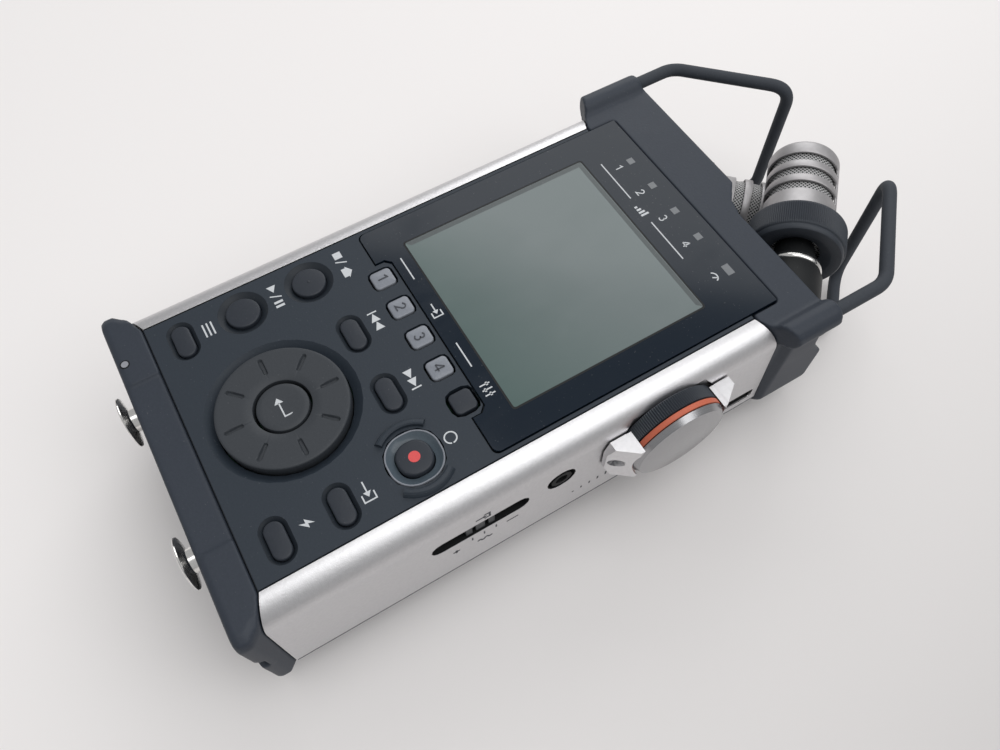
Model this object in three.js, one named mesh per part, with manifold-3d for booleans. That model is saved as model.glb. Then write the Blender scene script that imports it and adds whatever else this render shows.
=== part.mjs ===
// Handheld audio recorder: a metal-sided body with two crossed microphones and bent-wire guards.
// Design frame, in millimetres: x across the front from left to right, y from the input sockets
// to the microphones, z up out of the front face. y = 0 is the bottom seam of the front panel and
// z = 0 is the table that the recorder lies on. The exported group is shifted to ORIGIN.
import * as THREE from "three";
import { mergeVertices } from "three/addons/utils/BufferGeometryUtils.js";
import Module from "manifold-3d";

const wasm = await Module();
wasm.setup();

// Driving dimensions
const GAP = 0.3; // running and fitting clearance
const CORNER_STEPS = 3; // facets round a quarter turn of a moulded corner
const FRONT = 38.8; // height of the front face
const PANEL_HALF = 29.7; // half width of the dark front panel
const BODY_HALF = 35.1; // half width over the aluminium sides
const CORNER = 5.4; // radius of the aluminium corner beside the front panel
const SIDE_FOOT = 11; // height where the aluminium side ends
const SHEET = 1.3; // thickness of the aluminium
const BACK_HALF = 26.5; // half width of the flat back
const SEAM_TOP = 103.5; // where the top cap starts beside the lens
const CAP_HALF = 36.9; // half width of both end caps
const CAP_END = 7.4; // how far the bottom cap reaches below y = 0
const CAP_CORNER = 2.2; // corner radius of the end caps
const TOP_END = 122; // far end of the top cap
const SCOOP_END = 117.4; // wall behind each microphone
const TOP_REACH = 2.3; // how much further out the top seam lies over the aluminium
const TOP_LEAN = 0.08;
const BOTTOM_REACH = 2.3;
const BOTTOM_LEAN = 0.015;
const WALL = 2.2; // wall of the plastic mouldings
const BEZEL = 2.2; // thickness of the front panel
const BOARD_FOOT = 18.6; // underside of the main circuit board
const KEY_BOARD = 33; // top of the board under the keys
const LCD_FOOT = 32.5; // underside of the display module

const LENS_HALF = 28.4;
const LENS_TOP = 110;
const LENS_FOOT = 49.2; // lower edge of the lens between its two ears
const LENS_EAR_FOOT = 46;
const LENS_EAR_INNER = 20.2;
const LENS_THICK = 1.2;
const LENS_PROUD = 0.25;
const WINDOW = { x0: -22.1, x1: 22.6, y0: 53.2, y1: 97 };

const WHEEL = { x: 0.3, y: 16.9, r: 12.6, well: 14.8, bore: 5.5, facets: 32 };
const KEY_TRAVEL = 0.6;
const KEY_PROUD = 0.4;
const WHEEL_FOOT = 35.4;
const SIDE_COLUMN = 23.1; // x of the two outer columns of keys
const KEYS = {
  menu_key: { x: -SIDE_COLUMN, y: 5.9, form: "obround" },
  play_key: { x: -SIDE_COLUMN, y: 18.3, form: "round" },
  stop_key: { x: -SIDE_COLUMN, y: 32.5, form: "round" },
  previous_key: { x: -7.6, y: 35, form: "obround" },
  next_key: { x: 7.6, y: 35, form: "obround" },
  record_key: { x: 21.5, y: 33.2, form: "record" },
  input_key: { x: SIDE_COLUMN, y: 18.1, form: "obround" },
  quick_key: { x: SIDE_COLUMN, y: 6.1, form: "obround" },
};
const TRACK_PITCH = 8;
const TRACK_Y = 45.7;
const TRACK_X0 = -16.3;
// Outline of each form of key: width, length, corner radius and facets round a corner
const FORMS = {
  obround: [8.2, 4.4, 2.2, 3],
  round: [8.4, 8.4, 4.2, 4],
  record: [7.6, 7.6, 3.2, 3],
  mixer: [5.4, 5.4, 1.6, 2],
  track: [4.6, 4.8, 1, 2],
};
const MIXER = { x: 16.1, y: 46.1, form: "mixer" };
const RECORD_RING = 1.5; // width of the lit ring round the record key

// The dial's heights are measured from the centre plane of the recorder
const DIAL = {
  y: 80.3,
  z: 27.8,
  r: 11.3,
  face: 10.5,
  ribs: 32,
  inner: 34.7,
  ringTop: 37.7,
  bandTop: 39.1,
  hub: 8,
  top: 40.6,
  facets: 32,
};
// The wedges beside the dial: half width, reach from its axis, height and the start of the slope
const WEDGE = { half: 5.8, reach: 15.1, height: 4.8, crest: 10, toe: 0.9, bore: 11.8 };
const SWITCH = { y: 38.7, z: 26.9, slot: 21, width: 4.6, knob: 9.4, ribs: 5 };
const REMOTE = { y: 56.3, z: 27.9, r: 3.2 };
const USB = { y: 102, z: 14.6, length: 8, width: 3 };
const PHONES = { y: 93, z: 25.5, r: 3.2 };
const VOLUME = { y: 77.5, z: 26, length: 15, width: 5 };
const POWER = { y: 59, z: 26, slot: 15, width: 4.2, knob: 8.4, ribs: 3 };
const CARD = { y: 35, z: 24, length: 27, width: 9 };

const JACK = { x: 16, z: 17.8, r: 10.7, core: 7.6, bore: 3.25, depth: 27, mouth: -6.9, facets: 16 };
const LATCH = { z: 32.1, disc: 5.2, stem: 2.4, face: -10.4 };

const CELL = { r: 6.95, length: 50.2, pitch: 14.3, y: 26.8, z: 10.2 };
const CELL_BAY = 28.5;
const DOOR = { half: 25.6, y0: 25.6, y1: 78.6, travel: 4 };
const DOOR_FOOT = 0.2;
const TRIPOD = { x: 0, y: 93.5, r: 6, hole: 3.2, depth: 8 };
const SPEAKER = { x: -15.4, y: 93.5, r: 8.6 };

// Microphones: a point on each axis at the front rim of the knurled ring, turned 45 degrees inward
const MIC_X = 13.4;
const MIC_Y = 131;
const MIC_Z = { right: 30.4, left: 12.7 };
const MIC = {
  r: 7.8,
  nose: 20.2,
  tail: -4.5,
  wall: 0.5,
  ring: 10.6,
  ringDepth: 7.2,
  lip: -5.9,
  ribs: 24,
  stem: 4.9,
  foot: 6.2,
  facets: 20,
};
const SLOT = { rows: 3, first: 15.8, pitch: 3.88, width: 2.6, post: 2.1, turn: 1.2 };

const WIRE_R = 1.45;
const WIRE_BENDS = [2.8, 5, 5, 4.4]; // bend at each corner, from the front leg to the rear one
const WIRE_STEPS = 34;
const GUARD = {
  frontX: 36,
  frontZ: 38.1,
  backX: 27,
  backZ: 3.4,
  apexX: 16.2,
  apexY: 151.7,
  root: 111,
};
const BOSS = { x: 35.7, z: 37.7, r: 3, start: 106.5, leftEnd: 121.6, rightEnd: 118.6 };

const LEFT_SIDE = -(BOSS.x + BOSS.r);
const ORIGIN = new THREE.Vector3(
  (DIAL.top + LEFT_SIDE) / 2,
  (GUARD.apexY + WIRE_R + LATCH.face) / 2,
  0,
);

// Geometry to manifold solid and back, with only positions kept
function solid(geometry) {
  const bare = geometry.index ? geometry.toNonIndexed() : geometry.clone();
  bare.deleteAttribute("normal");
  bare.deleteAttribute("uv");
  const merged = mergeVertices(bare, 1e-4);
  return new wasm.Manifold(
    new wasm.Mesh({
      numProp: 3,
      vertProperties: merged.getAttribute("position").array,
      triVerts: new Uint32Array(merged.index.array),
    }),
  );
}

function geometryOf(body) {
  const mesh = body.getMesh();
  const positions = new Float32Array(mesh.numVert * 3);
  for (let i = 0; i < mesh.numVert; i++) {
    const start = i * mesh.numProp;
    positions.set(mesh.vertProperties.subarray(start, start + 3), i * 3);
  }
  return new THREE.BufferGeometry()
    .setAttribute("position", new THREE.BufferAttribute(positions, 3))
    .setIndex(new THREE.BufferAttribute(mesh.triVerts, 1));
}

function join(first, ...others) {
  return geometryOf(others.reduce((sum, other) => sum.add(solid(other)), solid(first)));
}

function cut(first, ...others) {
  return geometryOf(others.reduce((rest, other) => rest.subtract(solid(other)), solid(first)));
}

function common(first, second) {
  return geometryOf(solid(first).intersect(solid(second)));
}

// Basic forms
function box(x0, x1, y0, y1, z0, z1) {
  return new THREE.BoxGeometry(x1 - x0, y1 - y0, z1 - z0).translate(
    (x0 + x1) / 2,
    (y0 + y1) / 2,
    (z0 + z1) / 2,
  );
}

// A turned form about +z from [radius, height] pairs
function turned(profile, segments = 24) {
  const points = profile.map(([r, h]) => new THREE.Vector2(r, h));
  return new THREE.LatheGeometry(points, segments).rotateX(Math.PI / 2);
}

function rod(r, z0, z1, segments = 20) {
  return turned([[0, z0], [r, z0], [r, z1], [0, z1]], segments);
}

function tube(outer, inner, z0, z1, segments = 32) {
  return turned([[inner, z0], [outer, z0], [outer, z1], [inner, z1], [inner, z0]], segments);
}

function roundedShape(width, length, radius, steps) {
  const w = width / 2;
  const l = length / 2;
  const r = Math.min(radius, w, l) - 1e-3;
  return new THREE.Shape(roundedOutline([[w, l, r], [-w, l, r], [-w, -l, r], [w, -l, r]], steps));
}

function plate(shape, z0, z1, curveSegments = 3) {
  return new THREE.ExtrudeGeometry(shape, {
    depth: z1 - z0,
    bevelEnabled: false,
    curveSegments,
  }).translate(0, 0, z0);
}

function roundedPlate(width, length, radius, z0, z1, steps = CORNER_STEPS) {
  return plate(roundedShape(width, length, radius, steps), z0, z1);
}

// A closed skin over rings of points that correspond, with the two end rings filled in
function loft(rings) {
  const count = rings[0].length;
  const positions = rings.flat().flatMap((p) => [p.x, p.y, p.z]);
  const index = [];
  for (let r = 0; r + 1 < rings.length; r++) {
    for (let i = 0; i < count; i++) {
      const a = r * count + i;
      const b = r * count + ((i + 1) % count);
      index.push(a, b, b + count, a, b + count, a + count);
    }
  }
  const flat = rings[0].map((p) => new THREE.Vector2(p.x, p.z));
  const last = (rings.length - 1) * count;
  for (const [a, b, c] of THREE.ShapeUtils.triangulateShape(flat, [])) {
    index.push(c, b, a, last + a, last + b, last + c);
  }
  const skin = new THREE.BufferGeometry()
    .setAttribute("position", new THREE.Float32BufferAttribute(positions, 3))
    .setIndex(index);
  return solid(skin).volume() > 0 ? skin : flipped(skin);
}

function flipped(geometry) {
  const index = geometry.index.array;
  for (let i = 0; i < index.length; i += 3) {
    [index[i + 1], index[i + 2]] = [index[i + 2], index[i + 1]];
  }
  return geometry;
}

// The outline of a polygon of [x, z, radius] corners, each corner rounded in the same number of steps
function roundedOutline(corners, steps = CORNER_STEPS) {
  const points = [];
  corners.forEach(([x, z, radius], i) => {
    const here = new THREE.Vector2(x, z);
    const before = corners[(i + corners.length - 1) % corners.length];
    const after = corners[(i + 1) % corners.length];
    const toBefore = new THREE.Vector2(before[0] - x, before[1] - z).normalize();
    const toAfter = new THREE.Vector2(after[0] - x, after[1] - z).normalize();
    const half = Math.acos(THREE.MathUtils.clamp(toBefore.dot(toAfter), -1, 1)) / 2;
    const reach = radius / Math.tan(half);
    const start = here.clone().addScaledVector(toBefore, reach);
    const end = here.clone().addScaledVector(toAfter, reach);
    const towards = toBefore.clone().add(toAfter).normalize();
    const centre = here.clone().addScaledVector(towards, radius / Math.sin(half));
    const from = start.clone().sub(centre).angle();
    let sweep = end.clone().sub(centre).angle() - from;
    if (sweep > Math.PI) sweep -= 2 * Math.PI;
    if (sweep < -Math.PI) sweep += 2 * Math.PI;
    for (let k = 0; k <= steps; k++) {
      const angle = from + (sweep * k) / steps;
      points.push(
        new THREE.Vector2(
          centre.x + radius * Math.cos(angle),
          centre.y + radius * Math.sin(angle),
        ),
      );
    }
  });
  return points;
}

// Cross-section shared by both end caps, drawn in by an inset
function capSection(inset, half = CAP_HALF) {
  const right = [
    [BACK_HALF - inset * 0.4, inset, 3],
    [half - inset - 0.6, 9 + inset * 0.4, 3],
    [half - inset, FRONT - inset, Math.max(CAP_CORNER - inset * 0.3, 0.6)],
  ];
  const left = right.map(([x, z, r]) => [-x, z, r]).reverse();
  return roundedOutline([...right, ...left], 2);
}

// The body's side of a seam: straight across the panel, then further out over the aluminium,
// and leaning a little along y towards the back
function bodySide(from, seam, reach, lean) {
  const far = 60;
  const shape = new THREE.Shape(
    [
      [-far, from], [far, from], [far, seam + reach], [BODY_HALF, seam + reach],
      [PANEL_HALF, seam], [-PANEL_HALF, seam], [-BODY_HALF, seam + reach], [-far, seam + reach],
    ].map(([x, y]) => new THREE.Vector2(x, y)),
  );
  const leaning = new THREE.Matrix4().makeShear(0, 0, 0, 0, 0, 0);
  leaning.elements[9] = -lean;
  leaning.elements[13] = lean * FRONT;
  return plate(shape, -10, FRONT + 10).applyMatrix4(leaning);
}

function belowTopSeam(gap) {
  return bodySide(30, SEAM_TOP + gap, TOP_REACH, TOP_LEAN);
}

function aboveBottomSeam(gap) {
  return bodySide(70, -gap, -BOTTOM_REACH, -BOTTOM_LEAN);
}

function withinSeams(geometry) {
  const lower = common(geometry, join(aboveBottomSeam(0), box(-60, 60, 60, 200, -10, FRONT + 10)));
  return common(lower, join(belowTopSeam(0), box(-60, 60, -100, 40, -10, FRONT + 10)));
}

// An end cap from its seam at the body, flaring out over the sides, to its rounded far edge
function endCap(start, flare, end, edge) {
  const along = Math.sign(end - start);
  const ring = (y, inset, half) =>
    capSection(inset, half).map((p) => new THREE.Vector3(p.x, y, p.y));
  const rings = [
    ring(start, 0, BODY_HALF + 0.1),
    ring(flare, 0, BODY_HALF + 0.1),
    ring(flare + along * 1.8, 0, CAP_HALF),
  ];
  const steps = 2;
  for (let i = 0; i <= steps; i++) {
    const angle = (i / steps) * (Math.PI / 2);
    rings.push(ring(end - along * edge * (1 - Math.sin(angle)), edge * (1 - Math.cos(angle)), CAP_HALF));
  }
  return loft(rings);
}

function capPocket(y0, y1) {
  const ring = (y) =>
    capSection(WALL, BODY_HALF + 0.4).map((p) => new THREE.Vector3(p.x, y, p.y));
  return loft([ring(y0), ring(y1)]);
}

function bottomCap() {
  const outer = endCap(3, -2.8, -CAP_END, 1.2);
  const dip = box(-19, 19, -CAP_END - 1, 3, FRONT - 0.5, FRONT + 1);
  const cuts = [dip, capPocket(-CAP_END + WALL + 0.8, 4), aboveBottomSeam(GAP)];
  for (const side of [-1, 1]) {
    cuts.push(
      rod(JACK.r + GAP, 0, 20, JACK.facets).rotateX(Math.PI / 2).translate(side * JACK.x, 2, JACK.z),
      rod(LATCH.stem + GAP, 0, 20, 12).rotateX(Math.PI / 2).translate(side * JACK.x, 2, LATCH.z),
      strapEye(side),
    );
  }
  return cut(outer, ...cuts);
}

// A slot for the wrist strap through the corner of the cap
function strapEye(side) {
  return roundedPlate(1.8, 14, 0.8, -2.4, 2.4)
    .rotateZ((side * Math.PI) / 4)
    .translate(side * (CAP_HALF - 2.2), 2.2 - CAP_END, 24);
}

// The ridge over each front leg of the wire guard, slanted at the near end and rounded at the other
function guardRidge(side) {
  const length = (side > 0 ? BOSS.rightEnd : BOSS.leftEnd) - BOSS.start;
  const ridge = turned([[0, -3], [BOSS.r, -3], [BOSS.r, length - 0.5], [BOSS.r - 0.4, length],
    [0, length]], 12).rotateX(-Math.PI / 2);
  const slant = box(-10, 10, -10, 0, -10, 10).rotateZ(side * 0.35);
  return cut(ridge, slant).translate(side * BOSS.x, BOSS.start, BOSS.z);
}

function topCap() {
  const outer = endCap(SEAM_TOP - 4, SEAM_TOP + 4, TOP_END, 0.5);
  const lensBay = roundedPlate(2 * (LENS_HALF + GAP), 40, 0.5, FRONT - 4.5, FRONT + 1).translate(
    0,
    LENS_TOP + GAP - 20,
    0,
  );
  const cuts = [micScoop(1, MIC_Z.right), micScoop(-1, MIC_Z.left),
    capPocket(SEAM_TOP - 6, SCOOP_END - WALL), lensBay, belowTopSeam(GAP)];
  const shell = cut(outer, ...cuts);
  const added = [guardRidge(1), guardRidge(-1)];
  const holes = [];
  for (const side of [-1, 1]) {
    const end = side > 0 ? TOP_END : SCOOP_END;
    added.push(guardLeg(side * GUARD.backX, GUARD.backZ, end));
    for (const [x, z] of [[GUARD.frontX, GUARD.frontZ], [GUARD.backX, GUARD.backZ]]) {
      holes.push(
        rod(WIRE_R + GAP, GUARD.root - GAP, TOP_END + 4, 10)
          .rotateX(-Math.PI / 2)
          .translate(side * x, 0, z),
      );
    }
    holes.push(micStemHole(side));
  }
  return cut(join(shell, ...added), ...holes);
}

// A sleeve inside the cap that holds the rear leg of a wire guard
function guardLeg(x, z, end) {
  return rod(2.8, GUARD.root - 2, end - 1, 12).rotateX(-Math.PI / 2).translate(x, 0, z);
}

// The hole that a microphone's stem stands in
function micStemHole(side) {
  const hole = rod(MIC.foot + GAP, -24, -10, 16).rotateX(-Math.PI / 2).rotateZ((side * Math.PI) / 4);
  return hole.translate(side * MIC_X, MIC_Y, side > 0 ? MIC_Z.right : MIC_Z.left);
}

// The space that a microphone stands in: open at the far end, with a curved floor under its ring
function micScoop(side, z) {
  const clear = MIC.ring + 1.6;
  const reach = CAP_HALF + 8;
  const channel = rod(clear, -reach, reach, 28).rotateY(Math.PI / 2).translate(0, 0, z);
  const open = side > 0 ? [z, 60] : [-20, z];
  const whole = join(channel, box(-reach, reach, -clear, clear, ...open));
  const outline = new THREE.Shape(
    [
      [-0.3, 130], [-0.3, TOP_END - 0.2], [3.6, SCOOP_END + 1.2], [7.7, SCOOP_END + 0.1],
      [9, SCOOP_END - 1], [reach, SCOOP_END - 1], [reach, 130],
    ].map(([x, y]) => new THREE.Vector2(side * x, y)),
  );
  return common(whole.translate(0, SCOOP_END + clear, 0), plate(outline, -15, 55));
}

// One aluminium side: a bent sheet, cut on a slant at both ends
function sidePanel(side) {
  const steps = 5;
  const profile = [];
  const arc = (radius, reverse) => {
    for (let i = 0; i <= steps; i++) {
      const angle = ((reverse ? i : steps - i) / steps) * (Math.PI / 2);
      profile.push([
        BODY_HALF - CORNER + radius * Math.cos(angle),
        FRONT - CORNER + radius * Math.sin(angle),
      ]);
    }
  };
  arc(CORNER, false);
  profile.push([BODY_HALF, SIDE_FOOT], [BODY_HALF - SHEET, SIDE_FOOT]);
  arc(CORNER - SHEET, true);
  const sheet = slab(profile.map(([x, z]) => [side * x, z]), -6, 112);
  return withinSeams(sheet);
}

function sideHole(shape, side, y, z) {
  return shape.rotateY((side * Math.PI) / 2).translate(side * BODY_HALF, y, z);
}

function rightSidePanel() {
  return cut(
    sidePanel(1),
    sideHole(roundedPlate(SWITCH.width, SWITCH.slot, SWITCH.width / 2, -5, 5), 1, SWITCH.y, SWITCH.z),
    sideHole(rod(REMOTE.r, -5, 5, 16), 1, REMOTE.y, REMOTE.z),
    sideHole(rod(3.8, -5, 5, 14), 1, DIAL.y, DIAL.z),
    sideHole(rod(DIAL.r + 0.4, DIAL.inner - BODY_HALF - GAP, 5, DIAL.facets), 1, DIAL.y, DIAL.z),
    sideHole(roundedPlate(USB.width + 0.4, USB.length + 0.4, 0.8, -5, 5), 1, USB.y, USB.z),
  );
}

function leftSidePanel() {
  return cut(
    sidePanel(-1),
    sideHole(rod(PHONES.r, -5, 5, 16), -1, PHONES.y, PHONES.z),
    sideHole(roundedPlate(VOLUME.width, VOLUME.length, VOLUME.width / 2, -5, 5), -1, VOLUME.y, VOLUME.z),
    sideHole(roundedPlate(POWER.width, POWER.slot, POWER.width / 2, -5, 5), -1, POWER.y, POWER.z),
    sideHole(roundedPlate(CARD.width + 2 * GAP, CARD.length + 2 * GAP, 1.6, -5, 5), -1, CARD.y, CARD.z),
  );
}

// A tube swept along straight runs with rounded bends
function bentWire(points, bends, radius) {
  const path = new THREE.CurvePath();
  let from = points[0];
  for (let i = 1; i < points.length - 1; i++) {
    const [a, b, c] = [points[i - 1], points[i], points[i + 1]];
    const into = b.clone().sub(a).normalize();
    const away = c.clone().sub(b).normalize();
    const reach = Math.min(bends[i - 1], a.distanceTo(b) * 0.45, b.distanceTo(c) * 0.45);
    const start = b.clone().addScaledVector(into, -reach);
    const end = b.clone().addScaledVector(away, reach);
    path.add(new THREE.LineCurve3(from, start));
    path.add(new THREE.QuadraticBezierCurve3(start, b, end));
    from = end;
  }
  path.add(new THREE.LineCurve3(from, points[points.length - 1]));
  const section = new THREE.Shape().absarc(0, 0, radius, 0, 2 * Math.PI);
  return new THREE.ExtrudeGeometry(section, {
    steps: WIRE_STEPS,
    extrudePath: path,
    curveSegments: 4,
  });
}

function wireGuard(side) {
  const at = (x, y, z) => new THREE.Vector3(side * x, y, z);
  const end = GUARD.apexY;
  return bentWire(
    [
      at(GUARD.frontX, GUARD.root, GUARD.frontZ),
      at(GUARD.frontX, end - (GUARD.frontX - GUARD.apexX), GUARD.frontZ),
      at(GUARD.apexX, end, GUARD.frontZ),
      at(GUARD.apexX, end, GUARD.backZ),
      at(GUARD.backX, end - (GUARD.backX - GUARD.apexX), GUARD.backZ),
      at(GUARD.backX, GUARD.root, GUARD.backZ),
    ],
    WIRE_BENDS,
    WIRE_R,
  );
}

// Front panel: the plastic plate that carries the lens, the wheel and the keys
function frontBezel() {
  const half = PANEL_HALF - GAP;
  const foot = FRONT - BEZEL;
  const outline = new THREE.Shape(
    [
      [-half, 0], [half, 0], [half, SEAM_TOP], [LENS_HALF, SEAM_TOP], [LENS_HALF, LENS_TOP],
      [-LENS_HALF, LENS_TOP], [-LENS_HALF, SEAM_TOP], [-half, SEAM_TOP],
    ].map(([x, y]) => new THREE.Vector2(x, y)),
  );
  const cuts = [
    plate(lensOutline(GAP), FRONT - LENS_THICK + LENS_PROUD - GAP, FRONT + 1),
    box(WINDOW.x0 - 1, WINDOW.x1 + 1, WINDOW.y0 - 1, WINDOW.y1 + 1, foot - 1, FRONT),
    turned([[0, foot - 1], [WHEEL.r + GAP, foot - 1], [WHEEL.r + GAP, FRONT - 1.5],
      [WHEEL.well, FRONT + 0.01], [WHEEL.well, FRONT + 1], [0, FRONT + 1]], WHEEL.facets)
      .translate(WHEEL.x, WHEEL.y, 0),
  ];
  for (const key of Object.values(KEYS)) cuts.push(keyHole(key, foot));
  for (let i = 0; i < 4; i++) cuts.push(keyHole(trackKeyPlace(i), foot));
  cuts.push(keyHole(MIXER, foot));
  const body = cut(plate(outline, foot, FRONT), ...cuts);
  return join(body, ...recordGuards());
}

// Two raised arcs that keep a thumb off the record key
function recordGuards() {
  const { x, y } = KEYS.record_key;
  const sweep = 0.46 * Math.PI;
  return [0, Math.PI].map((middle) => {
    const start = middle - sweep / 2;
    const arc = new THREE.Shape();
    arc.absarc(0, 0, 7.4, start, start + sweep);
    arc.absarc(0, 0, 6.3, start + sweep, start, true);
    return plate(arc, FRONT - 0.5, FRONT + 0.7).translate(x, y, 0);
  });
}

function lensOutline(grow) {
  const half = LENS_HALF + grow;
  const inner = LENS_EAR_INNER - grow;
  const shape = new THREE.Shape();
  const r = 1.4;
  shape.moveTo(-half, LENS_TOP + grow);
  shape.lineTo(-half, LENS_EAR_FOOT - grow + r);
  shape.absarc(-half + r, LENS_EAR_FOOT - grow + r, r, Math.PI, 1.5 * Math.PI);
  shape.lineTo(-inner, LENS_EAR_FOOT - grow);
  shape.lineTo(-inner, LENS_FOOT - grow - 1.2);
  shape.lineTo(-inner + 1.2, LENS_FOOT - grow);
  shape.lineTo(inner - 1.2, LENS_FOOT - grow);
  shape.lineTo(inner, LENS_FOOT - grow - 1.2);
  shape.lineTo(inner, LENS_EAR_FOOT - grow);
  shape.absarc(half - r, LENS_EAR_FOOT - grow + r, r, 1.5 * Math.PI, 2 * Math.PI);
  shape.lineTo(half, LENS_TOP + grow);
  shape.closePath();
  return shape;
}

function displayLens() {
  return plate(lensOutline(0), FRONT - LENS_THICK + LENS_PROUD, FRONT + LENS_PROUD);
}

// Keys: a cap in a hole of the panel, and a wider foot that stays behind it
function trackKeyPlace(i) {
  return { x: TRACK_X0 + i * TRACK_PITCH, y: TRACK_Y, form: "track" };
}

function keyHole(key, foot) {
  const [width, length, radius, steps] = FORMS[key.form];
  const extra = key.form === "record" ? 2 * RECORD_RING : 0;
  return roundedPlate(width + extra + 2 * GAP, length + extra + 2 * GAP, radius + extra / 2 + GAP,
    foot - 1, FRONT + 1, steps).translate(key.x, key.y, 0);
}

function keyCap(key) {
  const [width, length, radius, steps] = FORMS[key.form];
  const lip = key.form === "track" ? 1.4 : 2;
  const top = FRONT + KEY_PROUD;
  const foot = FRONT - BEZEL - GAP - 1;
  return join(
    roundedPlate(width, length, radius, foot + 0.5, top, steps),
    box(-(width + lip) / 2, (width + lip) / 2, -(length + lip) / 2, (length + lip) / 2, foot, foot + 1),
    box(-1.2, 1.2, -1.2, 1.2, KEY_BOARD + KEY_TRAVEL + GAP, foot + 0.5),
  ).translate(key.x, key.y, 0);
}

function recordLightRing() {
  const { x, y } = KEYS.record_key;
  const [width, length, radius] = FORMS.record;
  const ring = roundedPlate(width + 2 * RECORD_RING, length + 2 * RECORD_RING, radius + RECORD_RING,
    FRONT - BEZEL + 0.2, FRONT + 0.1);
  const bore = roundedPlate(width + 2 * GAP, length + 2 * GAP, radius + GAP, 0, FRONT + 1);
  return cut(ring, bore).translate(x, y, 0);
}

// The turning wheel: a dished disc with eight marks and a bore for the enter key
function jogWheel() {
  const disc = turned([[WHEEL.bore, WHEEL_FOOT], [WHEEL.r, WHEEL_FOOT], [WHEEL.r, FRONT + 0.2],
    [WHEEL.r - 0.8, FRONT + 0.9], [WHEEL.r - 2, FRONT + 0.8], [WHEEL.bore + 1, FRONT + 0.3],
    [WHEEL.bore, FRONT + 0.3], [WHEEL.bore, WHEEL_FOOT]], WHEEL.facets);
  const marks = [];
  for (let i = 0; i < 8; i++) {
    marks.push(
      box(-0.4, 0.4, 6.7, 10.1, FRONT - 0.1, FRONT + 2)
        .rotateZ(Math.PI / 8 + (i * Math.PI) / 4),
    );
  }
  return cut(disc, ...marks);
}

function enterKey() {
  const r = WHEEL.bore - 0.5;
  return turned([[0, KEY_BOARD + KEY_TRAVEL + GAP], [1.4, KEY_BOARD + KEY_TRAVEL + GAP],
    [1.4, WHEEL_FOOT], [r, WHEEL_FOOT], [r, FRONT], [r - 0.5, FRONT + 0.5], [0, FRONT + 0.6]], 20);
}

// Inner parts behind the front panel
function lcdModule() {
  return box(WINDOW.x0 - 2, WINDOW.x1 + 2, WINDOW.y0 - 2, WINDOW.y1 + 2, LCD_FOOT,
    FRONT - BEZEL - GAP);
}

function keyBoard() {
  return join(
    box(-28, 28, 4, 49.5, KEY_BOARD - 1.2, KEY_BOARD),
    tube(9, 7.4, KEY_BOARD - 0.2, WHEEL_FOOT - GAP, 16).translate(WHEEL.x, WHEEL.y, 0),
  );
}

function circuitBoard() {
  return join(
    box(-32, 32, 22, 97, BOARD_FOOT, BOARD_FOOT + 1.6),
    box(-33.2, -14, CARD.y - 12, CARD.y + 12, BOARD_FOOT + 1.4, BOARD_FOOT + 4.6),
    box(-8, 8, 60, 76, BOARD_FOOT + 1.4, BOARD_FOOT + 3.4),
    box(12, 22, 34, 44, BOARD_FOOT + 1.4, BOARD_FOOT + 3),
  );
}

function batteryCell() {
  return turned([[0, 0], [CELL.r, 0], [CELL.r, CELL.length - 1.3], [2.7, CELL.length - 1.3],
    [2.7, CELL.length], [0, CELL.length]], 10).rotateX(-Math.PI / 2);
}

// Back cover: a shallow tray with sloped flanks, a battery bay and speaker slots
function backProfile(inset) {
  const top = SIDE_FOOT - GAP;
  const half = BODY_HALF - 0.2 - inset;
  return [
    [-half, top], [-half, top - 1.2], [-(BACK_HALF - inset * 0.4), inset],
    [BACK_HALF - inset * 0.4, inset], [half, top - 1.2], [half, top],
  ];
}

function slab(profile, y0, y1) {
  const shape = new THREE.Shape(profile.map(([x, z]) => new THREE.Vector2(x, z)));
  return new THREE.ExtrudeGeometry(shape, { depth: y1 - y0, bevelEnabled: false })
    .rotateX(Math.PI / 2)
    .translate(0, y1, 0);
}

function backCover() {
  const raised = backProfile(2);
  raised[0][1] = raised[5][1] = SIDE_FOOT + 1;
  let shell = cut(slab(backProfile(0), -6, 110), slab(raised, -7, 111));
  const ribs = [DOOR.y0 - 1.7, DOOR.y1 + DOOR.travel + 0.3].map((y) =>
    join(
      common(slab(backProfile(1), y, y + 1.4), box(-CELL_BAY, CELL_BAY, 0, 110, 0, SIDE_FOOT)),
      box(-CELL_BAY, CELL_BAY, y, y + 1.4, 7, SIDE_FOOT + 4),
    ));
  const cleared = [
    slab(doorProfile(GAP), DOOR.y0 - GAP, DOOR.y1 + GAP),
    box(-DOOR.half - GAP, DOOR.half + GAP, DOOR.y1, DOOR.y1 + DOOR.travel + GAP, -1, 1.2),
    rod(TRIPOD.r + GAP, -1, 4, 16).translate(TRIPOD.x, TRIPOD.y, 0),
  ];
  for (let i = -2; i <= 2; i++) {
    cleared.push(box(-0.7, 0.7, -5, 5, -1, 3).translate(SPEAKER.x + i * 2.8, SPEAKER.y, 0));
  }
  shell = cut(join(shell, ...ribs), ...cleared);
  return withinSeams(shell);
}

// Battery door: the middle of the tray's floor, with a ribbed thumb patch
function doorProfile(grow) {
  const half = DOOR.half + grow;
  return [[-half, -1], [half, -1], [half, 8], [-half, 8]];
}

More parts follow.
